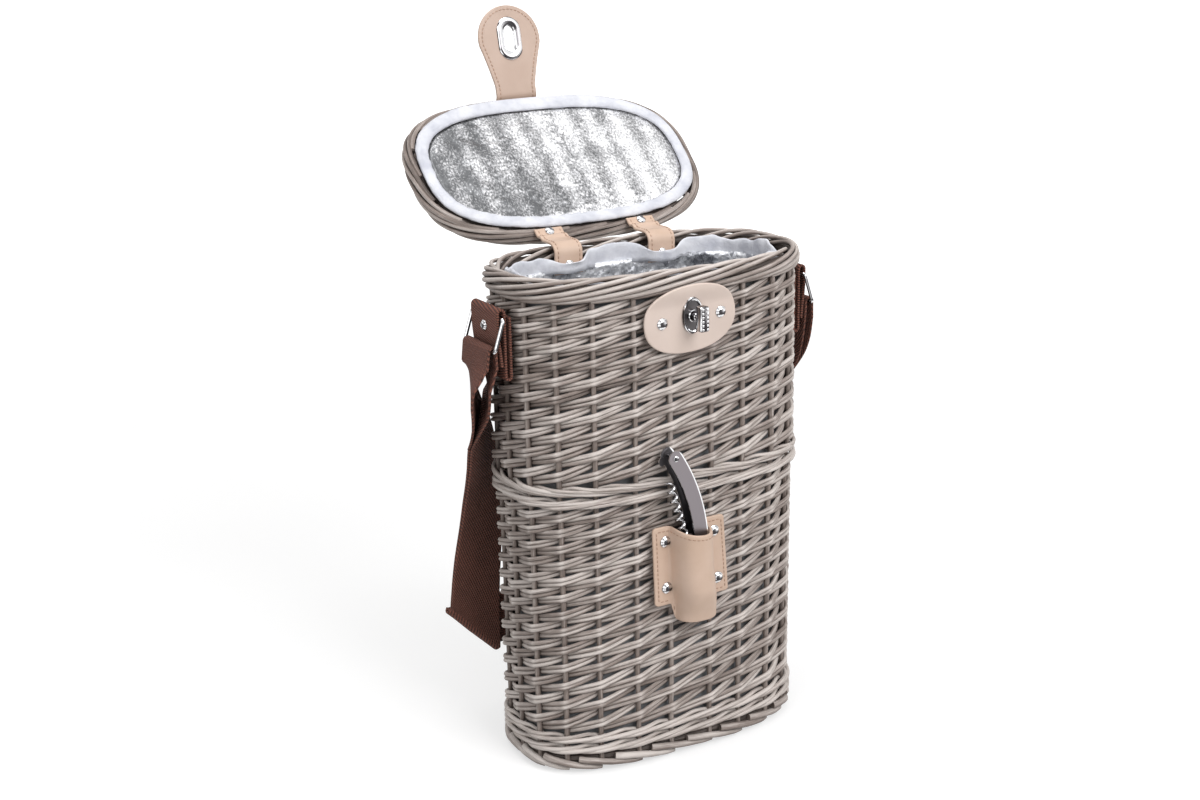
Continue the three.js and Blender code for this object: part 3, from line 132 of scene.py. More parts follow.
def lengths(points, power=1.0):
    """The length along a line up to each of its points, with each step raised to a power."""
    steps = np.linalg.norm(np.diff(points, axis=0), axis=1)
    return np.concatenate([[0], np.cumsum(np.maximum(steps, 1e-6) ** power)])


LATTICE = np.array([374761393, 668265263, 69069])


def noise(x, y, z, seed=0):
    """Smooth noise from -1 to 1 at places whose x, y and z are numbers or arrays."""
    p = np.stack(np.broadcast_arrays(x, y, z), -1).astype(float)
    cell = np.floor(p).astype(np.int64)
    near = smooth(p - cell)
    total = 0.0
    for corner in np.ndindex(2, 2, 2):
        n = (cell + corner) @ LATTICE + seed * 1013904223
        n = ((n ^ (n >> 13)) * 1274126177) & 0x7FFFFFFF
        value = ((n ^ (n >> 15)) & 0xFFFF) / 32767.5 - 1
        total = total + np.where(corner, near, 1 - near).prod(-1) * value
    return total


def wander(values, seed, speed=1.0):
    """Smooth noise along one line of values."""
    return noise(np.asarray(values, float) * speed, seed * 1.7, 0.5, int(seed))


def crumple(x, y, z, octaves):
    """Layers of noise; each octave is its size, its seed and its scales of x, y and z."""
    return sum(size * noise(x * a, y * b, z * c, seed) for size, seed, a, b, c in octaves)


# The way round an oval is measured once, on one of middling size
_turn = np.linspace(0, 2 * math.pi, 4001)
_x = 106 * signed_power(np.cos(_turn), 2 / POWER)
_y = (106 - SIDE_TO_FRONT) * signed_power(np.sin(_turn), 2 / POWER)
_share = lengths(np.stack([_x, _y], 1))
_share /= _share[-1]


def ring(share, half, height, out=0.0):
    """Points and outward normals of the oval at a share of its way round, from the right end backwards."""
    t = np.interp(np.mod(share, 1.0), _share, _turn)
    half = np.asarray(half, float)
    depth = half - SIDE_TO_FRONT
    ux, uy = signed_power(np.cos(t), 2 / POWER), signed_power(np.sin(t), 2 / POWER)
    nx, ny = signed_power(ux, POWER - 1) / half, signed_power(uy, POWER - 1) / depth
    normals = unit(np.stack([nx, ny, nx * 0], -1))
    points = np.stack(np.broadcast_arrays(half * ux, depth * uy, height), -1)
    return points + normals * np.asarray(out, float)[..., None], normals


_places = [middle + side * d / PERIMETER for d in STAKE_PLACES for middle in (0.25, 0.75) for side in (1, -1)]
_table = np.array(sorted(_places + [0.0, 0.5]) + [1.0])
STAKES = len(_table) - 1


def stake_share(w):
    """Share of the way round at stake number w, between stakes too."""
    w = np.asarray(w, float)
    turns = np.floor(w / STAKES)
    return turns + np.interp(w - turns * STAKES, np.arange(STAKES + 1), _table)


def mix(u, a, b, start, end):
    return ((end - u) * a + (u - start) * b) / (end - start)


def spline(points, per):
    """A centripetal Catmull-Rom curve through points, with some steps for each leg."""
    p = np.asarray(points, float)
    p = np.concatenate([[2 * p[0] - p[1]], p, [2 * p[-1] - p[-2]]])
    rows = []
    for i in range(1, len(p) - 2):
        quad = p[i - 1 : i + 3]
        t = lengths(quad, 0.5)
        u = np.linspace(t[1], t[2], per, endpoint=False)[:, None]
        first = [mix(u, quad[k], quad[k + 1], t[k], t[k + 1]) for k in range(3)]
        second = [mix(u, first[k], first[k + 1], t[k], t[k + 2]) for k in range(2)]
        rows.append(mix(u, *second, t[1], t[2]))
    return np.concatenate(rows + [p[-2][None]])


def bend(start, control, end, t):
    """A quadratic curve from start to end, drawn towards a control point."""
    return (1 - t) ** 2 * start + 2 * t * (1 - t) * control + t**2 * end


class Path:
    """A line through points, asked for by the length along it."""

    def __init__(self, points):
        self.points = np.asarray(points, float)
        self.lengths = lengths(self.points)
        self.length = self.lengths[-1]

    def raw(self, s):
        return np.stack([np.interp(s, self.lengths, column) for column in self.points.T], -1)

    def at(self, s, reach):
        """The points at lengths s, and the direction there over a reach to both sides."""
        low, high = np.clip(s - reach, 0, self.length), np.clip(s + reach, 0, self.length)
        return self.raw(s), unit(self.raw(high) - self.raw(low))


def arc(centre, radius, start, end, steps):
    """Points of an arc in a plane, in degrees."""
    a = np.radians(np.linspace(start, end, steps))
    return np.stack([centre[0] + radius * np.cos(a), centre[1] + radius * np.sin(a)], 1)


def circle(steps):
    return np.arange(steps) * 2 * math.pi / steps


ROUND_STEPS = np.array([0, 0.06, 0.22, 0.5, 1.0])
LEATHER_ROUND = 0.8
WEBBING_ROUND = 0.7


def edged(low, high, step, round_off=LEATHER_ROUND):
    """Places from low to high, closer at the rounded ends, and the share of the thickness at each."""
    start = low + ROUND_STEPS * round_off
    finish = high - ROUND_STEPS[::-1] * round_off
    count = max(3, math.ceil((finish[0] - start[-1]) / step) + 1)
    places = np.concatenate([start, np.linspace(start[-1], finish[0], count)[1:-1], finish])
    gap = np.minimum(places - low, high - places)
    return places, np.sqrt(1 - (1 - np.minimum(gap / round_off, 1)) ** 2)


# Meshes
STITCH_RISE = np.array([[-0.25], [0.12], [0.2], [0.12], [-0.25]])
WELD = 1e-5
FINE_WELD = 2e-6
WIDE_WELD = 2e-5


class Batch:
    """Tubes and sheets gathered into one mesh, with uv in mm and a tone for each rod, on which each tube also
    paints light and shade.
    """

    def __init__(self):
        self.verts, self.faces, self.uvs, self.tones, self.slots, self.flat = [], [], [], [], [], []
        self.count = 0

    def add(self, verts, faces, uvs, tone, slot, flat=False):
        """faces is (m, k) of indices into verts; uvs is (m, k, 2)."""
        self.verts.append(verts)
        self.faces.append(faces + self.count)
        self.uvs.append(uvs.reshape(-1, 2))
        self.tones.append(np.broadcast_to(tone, len(verts)))
        self.slots.append(np.full(len(faces), slot))
        self.flat.append(np.full(len(faces), flat))
        self.count += len(verts)

    def grid(self, points, tone=0.5, slot=0, wrap_u=False, wrap_v=False, uv=None, flip=False):
        """Joins points (rows, columns, 3) into quads; uv is the places of its rows and of its columns."""
        p = np.asarray(points, float)
        rows, columns = p.shape[:2]
        i, k = np.indices((rows - 1 + wrap_u, columns - 1 + wrap_v)).reshape(2, -1)
        j, m = (i + 1) % rows, (k + 1) % columns
        faces = np.stack([i * columns + k, i * columns + m, j * columns + m, j * columns + k], 1)
        if uv is None:
            steps = [np.linalg.norm(np.diff(p, axis=a), axis=2).mean(1 - a) for a in (0, 1)]
            uv = [np.concatenate([[0], np.cumsum(np.append(s, s.mean()))]) for s in steps]
        us, vs = uv
        pairs = [(us[i], vs[k]), (us[i], vs[k + 1]), (us[i + 1], vs[k + 1]), (us[i + 1], vs[k])]
        uvs = np.stack([np.stack(pair, 1) for pair in pairs], 1)
        if flip:
            faces, uvs = faces[:, ::-1], uvs[:, ::-1]
        self.add(p.reshape(-1, 3), faces, uvs, tone, slot)

    def fan(self, loop, tone=0.5, slot=0, uv=0.0, flip=False, flat=False):
        """Closes a loop of points with triangles round its middle."""
        count = len(loop)
        k = np.arange(count)
        m = (k + 1) % count
        faces = np.stack([k * 0 + count, m, k] if flip else [k * 0 + count, k, m], 1)
        uvs = np.broadcast_to(uv, (count, 3, 2))
        self.add(np.concatenate([loop, loop.mean(0)[None]]), faces, uvs, tone, slot, flat)

    def disc(self, loops, slot=0, flip=False):
        """Loops of points joined inwards and closed with a fan."""
        self.grid(loops, wrap_v=True, flip=flip, slot=slot)
        self.fan(loops[-1], slot=slot, flip=flip)

    def tube(self, points, radius, ref, tone=0.5, sides=7, closed=False, slot=0, squash=1.0):
        """A rod; ref is a direction never parallel to it, as one vector or one for each point."""
        p = np.asarray(points, float)
        radius = np.broadcast_to(radius, len(p))
        tangent = unit(np.roll(p, -1, 0) - np.roll(p, 1, 0) if closed else np.gradient(p, axis=0))
        ref = np.broadcast_to(ref, p.shape)
        normal = unit(ref - (ref * tangent).sum(1)[:, None] * tangent)
        side = np.cross(tangent, normal)
        a = circle(sides)
        way = np.cos(a)[:, None] * normal[:, None] * squash + np.sin(a)[:, None] * side[:, None]
        loops = p[:, None] + way * radius[:, None, None]
        offset = rng.uniform(0, 4000)
        us = lengths(np.concatenate([p, p[:1]])) + offset
        vs = np.arange(sides + 1) * 2 * math.pi * radius.mean() / sides + offset
        # Painted light and shade round each rod: lighter on its upper side and on the side towards ref,
        # darker underneath and on the side away from it.
        tones = np.broadcast_to(tone, len(p))[:, None] + 0.2 * way[..., 2] + 0.14 * np.cos(a) - 0.04
        self.grid(loops, tones.ravel(), slot, closed, True, (us, vs))
        if closed:
            return
        spread = np.zeros((sides, 3, 2))
        spread[:, 1] = np.stack([np.cos(a), np.sin(a)], 1)
        spread[:, 2, 0] = np.cos(a + 1)
        for end, flip in ((0, True), (-1, False)):
            uv = offset + 2000 + spread * radius[end]
            self.fan(loops[end], np.mean(tone) - 0.12, slot, uv, flip, True)

    def slab(self, middle, normals, half, row_shares, column_shares, wrap=False, uv=None):
        """A sheet with thickness round a grid of middle points; shares of 0 close its edges."""
        thick = half * np.minimum(row_shares[:, None], column_shares[None, :])[..., None]
        self.grid(middle + normals * thick, wrap_v=wrap, uv=uv)
        self.grid(middle - normals * thick, wrap_v=wrap, uv=uv, flip=True)

    def stitches(self, points, normals, pitch=3.1, length=2.1, radius=0.34):
        """Short threads along a line, dipping into the leather at their ends."""
        path = Path(points)
        count = int(path.length / pitch)
        for i in range(count):
            s = (i + 0.5) * path.length / count + np.linspace(-0.5, 0.5, 5) * length
            up = np.stack([np.interp(s, path.lengths, column) for column in normals.T], 1)
            self.tube(path.raw(s) + up * STITCH_RISE, radius, up, sides=6, slot=1)

    def lathe(self, profile, place, direction, steps=32):
        """A turned shape: profile is (radius, height) pairs, and its axis points along a direction."""
        axis = unit(direction)
        side = unit(np.cross(axis, (0.3, 0.4, 0.87) if abs(axis[2]) < 0.8 else ACROSS))
        a = circle(steps)[:, None]
        way = np.cos(a) * side + np.sin(a) * np.cross(axis, side)
        rows = [np.asarray(place, float) + way * max(r, 1e-4) + axis * h for r, h in profile]
        self.grid(rows, wrap_v=True)

    def piece(self, name, materials, slot, body=None, nodes=(), place=None, weld=WELD, crease=None):
        """Builds the mesh, and ties it to its body and the nodes that it stands for. The slot is not used."""
        verts = np.concatenate(self.verts)
        if place:
            verts = place(verts)
        mesh = bpy.data.meshes.new(name)
        faces = [face for part in self.faces for face in part.tolist()]
        mesh.from_pydata((verts * 0.001).tolist(), [], faces)
        layer = mesh.uv_layers.new(name="run")
        layer.data.foreach_set("uv", np.concatenate(self.uvs).astype(np.float32).ravel())
        tone = mesh.attributes.new("tone", "FLOAT", "POINT")
        tone.data.foreach_set("value", np.concatenate(self.tones).astype(np.float32))
        mesh.polygons.foreach_set("material_index", np.concatenate(self.slots).astype(np.int32))
        mesh.polygons.foreach_set("use_smooth", ~np.concatenate(self.flat))
        for material in materials:
            mesh.materials.append(material)
        mesh.update()
        if weld:
            join_seams(mesh, weld, crease)
        obj = add_object(name, mesh)
        if body:
            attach(obj, body)
        if nodes:
            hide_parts(*nodes)
        return obj


def join_seams(mesh, distance, crease):
    """Welds the seams of a mesh, and keeps edges that turn more than crease degrees sharp."""
    bm = bmesh.new()
    bm.from_mesh(mesh)
    bmesh.ops.remove_doubles(bm, verts=bm.verts, dist=distance)
    bmesh.ops.recalc_face_normals(bm, faces=bm.faces)
    if crease:
        bm.normal_update()
        for edge in bm.edges:
            if len(edge.link_faces) == 2:
                edge.smooth = edge.calc_face_angle(0) < math.radians(crease)
    bm.to_mesh(mesh)
    bm.free()


def open_lid(points):
    """From the lid as it lies closed to its place at rest, 138 degrees open."""
    p = np.asarray(points, float)
    dy, dz = p[..., 1] - HINGE_Y, p[..., 2] - HINGE_Z
    c, s = math.cos(-LID_ANGLE), math.sin(-LID_ANGLE)
    return np.stack([p[..., 0], HINGE_Y + dy * c - dz * s, HINGE_Z + dy * s + dz * c], -1)


# Materials
def linear(r, g, b, share=1.0):
    """A shader colour from sRGB values up to 255, darkened to a share of its light."""
    values = [v / 255 for v in (r, g, b)]
    values = [v / 12.92 if v <= 0.04045 else ((v + 0.055) / 1.055) ** 2.4 for v in values]
    return tuple(v * share for v in values) + (1,)


class Nodes:
    """A node tree with a few short ways to add nodes."""

    def __init__(self, tree):
        self.tree = tree

    def node(self, kind, inputs=(), **values):
        n = self.tree.nodes.new(kind)
        for key, value in values.items():
            setattr(n, key, value)
        for key, value in dict(inputs).items():
            self.set(n.inputs[key], value)
        return n

    def set(self, socket, value):
        if isinstance(value, bpy.types.NodeSocket):
            self.tree.links.new(value, socket)
        else:
            socket.default_value = value

    def coordinates(self, kind="Object", scale=(1, 1, 1), rotation=(0, 0, 0)):
        if kind == "UV":
            source = self.node("ShaderNodeUVMap", uv_map="run").outputs["UV"]
        else:
            source = self.node("ShaderNodeTexCoord").outputs[kind]
        inputs = {"Vector": source, "Scale": scale, "Rotation": rotation}
        return self.node("ShaderNodeMapping", inputs).outputs["Vector"]

    def noise(self, vector, scale=1.0, detail=3.0, roughness=0.5, distortion=0.0):
        inputs = {"Vector": vector, "Scale": scale, "Detail": detail}
        inputs.update({"Roughness": roughness, "Distortion": distortion})
        return self.node("ShaderNodeTexNoise", inputs).outputs["Fac"]

    def voronoi(self, vector, scale):
        return self.node("ShaderNodeTexVoronoi", {"Vector": vector, "Scale": scale}).outputs["Distance"]

    def wave(self, vector, scale, direction="X", distortion=0.0):
        inputs = {"Vector": vector, "Scale": scale, "Distortion": distortion}
        return self.node("ShaderNodeTexWave", inputs, bands_direction=direction).outputs["Fac"]

    def math(self, operation, a, b=0.0):
        return self.node("ShaderNodeMath", {0: a, 1: b}, operation=operation).outputs[0]

    def vector_math(self, operation, a, b=(0, 0, 0)):
        return self.node("ShaderNodeVectorMath", {0: a, 1: b}, operation=operation).outputs["Value"]

    def blend(self, *parts):
        """A weighted sum: each part is a value and its weight, and numbers are added as they are."""
        total = None
        for part in parts:
            term = part if isinstance(part, float) else self.math("MULTIPLY", *part)
            total = term if total is None else self.math("ADD", total, term)
        return total

    def axis(self, vector, name):
        return self.node("ShaderNodeSeparateXYZ", {0: vector}).outputs[name]

    def seen_directly(self):
        """1 for rays from the camera, from metal and through glass, and 0 for the rest."""
        path = self.node("ShaderNodeLightPath").outputs
        near = self.math("MAXIMUM", path["Is Camera Ray"], path["Is Glossy Ray"])
        return self.math("MAXIMUM", near, path["Is Transmission Ray"])


class Look(Nodes):
    """A node material round one Principled shader."""

    def __init__(self, name, roughness, metallic=0.0):
        self.material = bpy.data.materials.new(name)
        self.material.use_nodes = True
        super().__init__(self.material.node_tree)
        self.shader = self.tree.nodes["Principled BSDF"].inputs
        self.set(self.shader["Roughness"], roughness)
        self.set(self.shader["Metallic"], metallic)

    def colour(self, factor, *stops):
        """Base colour from stops of (place, colour), each colour in sRGB or as a shader colour."""
        n = self.node("ShaderNodeValToRGB", {"Fac": factor})
        while len(n.color_ramp.elements) < len(stops):
            n.color_ramp.elements.new(0.5)
        for element, (place, colour) in zip(n.color_ramp.elements, stops):
            element.position = place
            element.color = linear(*colour) if len(colour) == 3 else colour
        self.set(self.shader["Base Color"], n.outputs["Color"])

    def rough(self, *parts):
        self.set(self.shader["Roughness"], self.blend(*parts))

    def bump(self, strength, distance, *parts):
        inputs = {"Strength": strength, "Distance": distance, "Height": self.blend(*parts)}
        self.set(self.shader["Normal"], self.node("ShaderNodeBump", inputs).outputs["Normal"])


def willow_look(name, dark, middle, light):
    look = Look(name, 0.6)
    streak = look.noise(look.coordinates("UV", (0.03, 0.9, 1)), 1.0, 4.0, 0.62)
    blotch = look.noise(look.coordinates("UV", (0.05, 0.2, 1)), 1.0, 2.0)
    fine = look.noise(look.coordinates("UV", (0.22, 4.5, 1)), 1.0, 3.0, 0.7)
    # The tone attribute holds each rod's own tone together with the light, shade and highlights painted on
    # it.
    tone = look.node("ShaderNodeAttribute", attribute_name="tone").outputs["Fac"]
    mixed = look.blend((streak, 0.7), (tone, 0.66), (blotch, 0.4), (fine, 0.36), -0.45)
    look.colour(mixed, (0.2, dark), (0.52, middle), (0.86, light))
    look.rough((streak, 0.3), 0.4)
    look.bump(0.5, 0.00032, (fine, 1.0), (streak, 1.4))
    return look.material


def leather_look(name, colour, shade):
    look = Look(name, 0.5)
    vector = look.coordinates()
    pores = look.noise(vector, 2400, 2)
    look.colour(look.blend((look.noise(vector, 45, 3), 0.8), (pores, 0.2)), (0.3, shade), (0.68, colour))
    look.rough((pores, 0.2), 0.38)
    look.bump(0.16, 0.00016, (look.voronoi(vector, 1500), 0.8), (pores, 0.5))
    return look.material


def webbing_look(name, colour, dark, slope):
    look = Look(name, 0.85)
    vector = look.coordinates("UV")
    ribs, cross = [
        look.wave(look.coordinates("UV", rotation=(0, 0, math.radians(turn))), scale, "X", distortion)
        for turn, scale, distortion in ((slope, 0.185, 0.25), (slope - 62, 0.2, 0.3))
    ]
    fuzz = look.noise(vector, 3.0, 3)
    cloud = look.noise(vector, 0.05, 2)
    tone = look.blend((ribs, 0.62), (cross, 0.12), (fuzz, 0.3), (cloud, 0.3), -0.16)
    look.colour(tone, (0.1, dark), (0.8, colour))
    look.bump(0.8, 0.0008, (ribs, 1.0), (cross, 0.4), (fuzz, 0.4))
    return look.material


def cloth_look(name, colour, shade):
    look = Look(name, 0.8)
    vector = look.coordinates()
    weave_x = look.wave(look.coordinates(rotation=(0, 0, 0.6)), 520, "X")
    weave_z = look.wave(look.coordinates(rotation=(0, 0.5, 0)), 520, "Z")
    wrinkle = look.noise(vector, 190, 3, 0.6, 0.6)
    look.colour(look.noise(vector, 60, 4, 0.6), (0.3, shade), (0.62, colour))
    look.bump(0.55, 0.0011, (weave_x, 0.12), (weave_z, 0.12), (wrinkle, 1.0))
    return look.material


def foil_look(name, *stops):
    look = Look(name, 0.3, 0.6)
    vector = look.coordinates()
    crinkle = look.noise(vector, 210, 5, 0.7, 1.2)
    look.colour(look.blend((look.noise(vector, 34, 4, 0.6, 0.8), 0.75), (crinkle, 0.4), -0.05), *stops)
    look.rough((crinkle, 0.35), 0.14)
    look.bump(0.5, 0.0014, (crinkle, 1.0), (look.voronoi(vector, 260), 1.2))
    return look.material


def pad_foil_look(name, *stops):
    """Fine crinkled foil, with painted reflections in bands across the lid, and painted light that grows
    towards its right end.
    """
    look = Look(name, 0.34, 0.8)
    vector = look.coordinates()
    reflection_bands = look.wave(look.coordinates("Object", (1, 0.4, 0.4), (0, 0.12, 0.14)), 15.0, "X", 1.6)
    cloud = look.noise(vector, 26, 3, 0.5, 0.4)
    speck = look.noise(look.coordinates("Object", (1, 0.7, 0.7)), 760, 3, 0.6)
    # The bands paint reflections and the rise along X paints light; cloud and speck are the foil's crinkle.
    tone = look.blend((reflection_bands, 0.15), (look.axis(vector, "X"), 1.7), (cloud, 0.5), (speck, 1.05), -0.36)
    look.colour(tone, *stops)
    look.bump(0.4, 0.0007, (speck, 1.0), (cloud, 0.6))
    return look.material


def chrome_look(name, *stops):
    """Bright plating whose colour, set by the way its surface faces, paints in the reflection of a dark
    studio flag.
    """
    look = Look(name, 0.13, 1.0)
    look.colour(look.noise(look.coordinates("Normal", (1.5, 1.5, 2.7)), 1.0, 0.0), *stops)
    return look.material


# Cheek faces inside this circle keep their colour; outside it the spine's edge gets a painted highlight.
# Behind REAR_Y the rear cheek gets painted shade.
SPINE_CENTRE = (-0.1325, -0.0745, 0.156)
SPINE_RADIUS = 0.1345
REAR_Y = -0.0705


def satin_look(name, painted_highlight, satin, dark):
    """Satin cheeks, with a painted highlight on the spine and edges, and painted shade on the rear parts,
    which lie in the tool's own shade.
    """
    look = Look(name, 0.36, 1.0)
    vector = look.coordinates()
    cheek = look.math("ABSOLUTE", look.axis(look.coordinates("Normal"), "Y"))
    rear = look.math("GREATER_THAN", look.axis(vector, "Y"), REAR_Y)
    inside = look.math("LESS_THAN", look.vector_math("DISTANCE", vector, SPINE_CENTRE), SPINE_RADIUS)
    # kind is 0 for a painted highlight on the spine and edges, 0.5 for the satin front cheek and 1 for
    # painted shade on the rear cheek.
    kind = look.math("MULTIPLY", look.math("MULTIPLY", cheek, inside), look.blend((rear, 0.5), 0.5))
    scratch = look.noise(look.coordinates("Object", (1, 1, 0.06)), 2600, 3, 0.6)
    tone = look.blend((kind, 1.0), (scratch, 0.08), -0.04)
    look.colour(tone, (0.3, painted_highlight), (0.42, satin), (0.6, satin), (0.78, dark))
    look.rough((kind, 0.3), 0.2)
    look.bump(0.1, 0.0001, (scratch, 1.0))
    return look.material


def metal_look(name, colour, roughness):
    look = Look(name, roughness, 1.0)
    scratch = look.noise(look.coordinates(), 90, 3, 0.6)
    look.colour(scratch, (0.3, colour), (0.75, linear(*colour, 0.82)))
    look.rough((scratch, 0.12), roughness - 0.04)
    return look.material


def plain_look(name, colour, roughness):
    look = Look(name, roughness)
    look.colour(look.noise(look.coordinates(), 30, 3), (0.35, linear(*colour, 0.75)), (0.65, colour))
    return look.material


WILLOW = willow_look("willow", (58, 48, 43), (138, 125, 118), (212, 203, 197))
WILLOW_DARK = willow_look("willow_in_shade", (62, 53, 48), (118, 104, 95), (160, 147, 137))
LEATHER = leather_look("leather", (194, 170, 155), (184, 159, 143))
PATCH_LEATHER = leather_look("patch_leather", (216, 199, 189), (207, 189, 178))
POCKET_LEATHER = leather_look("pocket_leather", (210, 184, 166), (196, 168, 147))
THREAD = leather_look("thread", (184, 152, 132), (164, 134, 114))
WEBBING = webbing_look("webbing", (124, 77, 63), (44, 25, 21), 60)
TAB_WEBBING = webbing_look("tab_webbing", (130, 81, 66), (46, 26, 22), 12)
DARK_THREAD = plain_look("dark_thread", (70, 42, 35), 0.8)
CLOTH = cloth_look("binding_cloth", (226, 227, 233), (196, 198, 208))
LINER_BACK = plain_look("liner_back", (138, 139, 143), 0.8)
FOIL = foil_look("foil", (0.38, (112, 114, 120)), (0.5, (200, 202, 207)), (0.62, (244, 245, 248)))
PAD_FOIL = pad_foil_look("pad_foil", (0.3, (100, 101, 103)), (0.5, (172, 172, 174)), (0.7, (246, 246, 248)))
CHROME = chrome_look("chrome", (0.36, (62, 60, 62)), (0.45, (140, 138, 140)), (0.52, (236, 236, 238)))
RECESS = metal_look("lock_recess", (92, 89, 90), 0.35)
STEEL = satin_look("steel", (242, 242, 244), (134, 128, 131), (84, 81, 83))


# Willow
WEAVE_DEPTH = 3.05
WALE_DEPTH = 2.6
WALE_RISE = 3.3
STAKE_RADIUS = 1.95
ROD_START = 1.6
ROD_TAPER = 0.2
WALL_STEPS = 10
WALE_STEPS = 8
BORDER_STEPS = 9


def willow_piece(batch, name, node, body="basket", place=None, material=WILLOW):
    batch.piece(name, [material], "willow", body, [node], place, weld=None)


def stake_wave(turns):
    """Straight runs between stakes with a sharp kink on each: 1 at even half turns, -1 at odd ones."""
    return sum(np.cos(k * turns) / k**2 for k in (1, 3, 5, 7)) / 1.1715


def ring_jitter(w, size, per=1.0):
    """A smooth seeded wander round the ring."""
    knots = max(4, int(STAKES * per))
    values = rng.normal(0, size, knots)
    x = (w % STAKES) / STAKES * knots
    i = np.floor(x).astype(int) % knots
    t = smooth(x - np.floor(x))
    return values[i] * (1 - t) + values[(i + 1) % knots] * t


def rand_wall(batch, bottom, top, courses, outer_low, outer_high):
    """French randing: a pair of rods starts behind each stake and climbs one course from stake to stake."""
    v = np.linspace(0, courses, courses * WALL_STEPS + 1)
    climb = v / courses
    base = bottom + (top - bottom) * (1.15 * climb - 0.15 * climb**2)
    middle = outer_low + (outer_high - outer_low) * (base - bottom) / (top - bottom) - WALL / 2
    wave = -stake_wave(math.pi * v)
    for k in range(STAKES):
        pair = 0.5 + rng.normal(0, 0.07)
        sway = wander(v + 31 * k, 1 + k, 0.7) * 0.5
        for side in (-1, 1):
            seed = 50 + 2 * k + side
            uneven = rng.normal(0, 0.05) + 0.06 * wander(v, seed, 0.25)
            radius = (ROD_START - ROD_TAPER * climb) * (1 + uneven)
            spread = side * radius * (1.03 + 0.1 * wander(v, seed + 60, 0.8))
            out = WEAVE_DEPTH * wave * (1 + 0.08 * wander(v, seed + 120, 0.9)) + 0.12 * side
            height = base + sway + spread + 0.2 * wander(v, seed + 180, 0.6)
            points, normals = ring(stake_share(k + v), middle, height, out)
            tone = pair + rng.normal(0, 0.12) + 0.1 * wander(v, seed + 240, 0.3)
            # Lighter where each rod kinks in front of a stake: the whitened skin at the crack there, and a
            # painted highlight.
            tone = np.clip(tone - 0.05 + 0.26 * np.maximum(wave, 0) ** 9, 0.02, 1.0)
            batch.tube(points, radius, normals, tone)


def wale(batch, height, half, radius, slant, group):
    """Rods that pass in front of all stakes but one in each group and lie over each other like a rope."""
    turns, starts = {3: (3, 1), 4: (2, 2)}[group]
    w = np.arange(turns * STAKES * WALE_STEPS) / WALE_STEPS
    behind = 0.42 / group
    for start in range(starts):
        u = ((w + start) / group) % 1.0
        near = np.minimum(u, 1 - u)
        front = smooth(near * group * 0.95)
        signed = np.where(u < 0.5, u, u - 1)
        climb = np.where(near < behind, -signed / behind * (1 - 2 * behind), 2 * u - 1)
        out = WALE_DEPTH * (2 * front - 1) + 0.9 * (1 - 2 * u) * front + ring_jitter(w, 0.2)
        level = height + slant * WALE_RISE * climb + ring_jitter(w, 0.25)
        points, normals = ring(stake_share(w % STAKES), half, level, out)
        fat = radius * (1 + ring_jitter(w, 0.06, 0.4))
        knots = np.linspace(0, turns * STAKES, 30)
        tone = np.interp(w, knots, rng.normal(0.52, 0.14, 30)) + 0.08 * front
        batch.tube(points, fat, normals, np.clip(tone, 0.1, 0.95), 8, True)


def put_stakes(batch, bottom, top):
    z = np.linspace(bottom, top, 30)
    outer = np.interp(z, [20, 197, 207], [FOOT_HALF + 0.8, LOWER_HALF, UPPER_HALF])
    for i in range(STAKES):
        points, normals = ring(np.full(30, stake_share(i)), outer - WALL / 2, z)
        sway = wander(z, 11 + i, 0.03)[:, None] * 0.4
        fat = STAKE_RADIUS * (1 + rng.normal(0, 0.05))
        tone = 0.22 + rng.normal(0, 0.08)
        batch.tube(points + sway * np.cross(normals, UP), fat, normals, tone, 8)


def rolled_border(batch, half, height, span, angles, semi, radii, tone):
    """Rods that come from under the border's outside, climb over its top and go in again."""
    v = np.linspace(0, 1, int(span * BORDER_STEPS))
    turned = 0.55 * v + 0.45 * v * v
    for i in range(STAKES):
        w = i + span * v + rng.normal(0, 0.06)
        angle = np.radians(angles[0] + (angles[1] - angles[0]) * turned + rng.normal(0, 4))
        swell = 1 - 0.12 * (1 - np.abs(2 * v - 1)) + rng.normal(0, 0.02)
        out = semi[0] * np.cos(angle) * swell
        up = semi[1] * np.sin(angle) * swell + wander(w, 300 + i, 0.7) * 0.35
        fat = (radii[0] + (radii[1] - radii[0]) * v) * (1 + 0.05 * wander(w, 340 + i, 0.5))
        points, normals = ring(stake_share(w), half, height + up, out)
        ref = normals * 0.6 + UP * 0.8
        batch.tube(points, fat, ref, np.clip(tone + rng.normal(0, 0.13), 0.1, 0.95), 9)


# A core under a rolled border; the low tones it is given paint shade into the grooves between the border's
# rods.
def core_ring(batch, half, height, radius, tone):
    points, normals = ring(stake_share(np.arange(220) / 220 * STAKES), half, height)
    batch.tube(points, radius, normals, tone, 8, True)


def make_walls():
    lower, upper, band = Batch(), Batch(), Batch()
    put_stakes(lower, 6, 338)
    rand_wall(lower, 31, 193, 26, FOOT_HALF + 0.9, LOWER_HALF)
    rand_wall(upper, 210.5, 331, 20, UPPER_HALF, UPPER_HALF)
    wale(band, BAND_MIDDLE + 3.9, UPPER_HALF - 3.7, 1.42, -1, 4)
    wale(band, BAND_MIDDLE - 4.3, UPPER_HALF - 4.0, 1.42, 1, 4)
    willow_piece(lower, "woven_lower_wall", "lower_wall")
    willow_piece(upper, "woven_upper_wall", "upper_wall")
    willow_piece(band, "woven_band", "middle_band")


def make_rim():
    batch = Batch()
    centre = RIM_HALF - RIM_WIDTH / 2
    rolled_border(batch, centre, RIM_MIDDLE, 6.5, (-78, 205), (5.0, 7.2), (1.85, 1.35), 0.44)
    # The core's low tone is painted shade between the rim's rods.
    core_ring(batch, centre, RIM_MIDDLE, 3.6, -0.2)
    willow_piece(batch, "rolled_rim", "top_border")


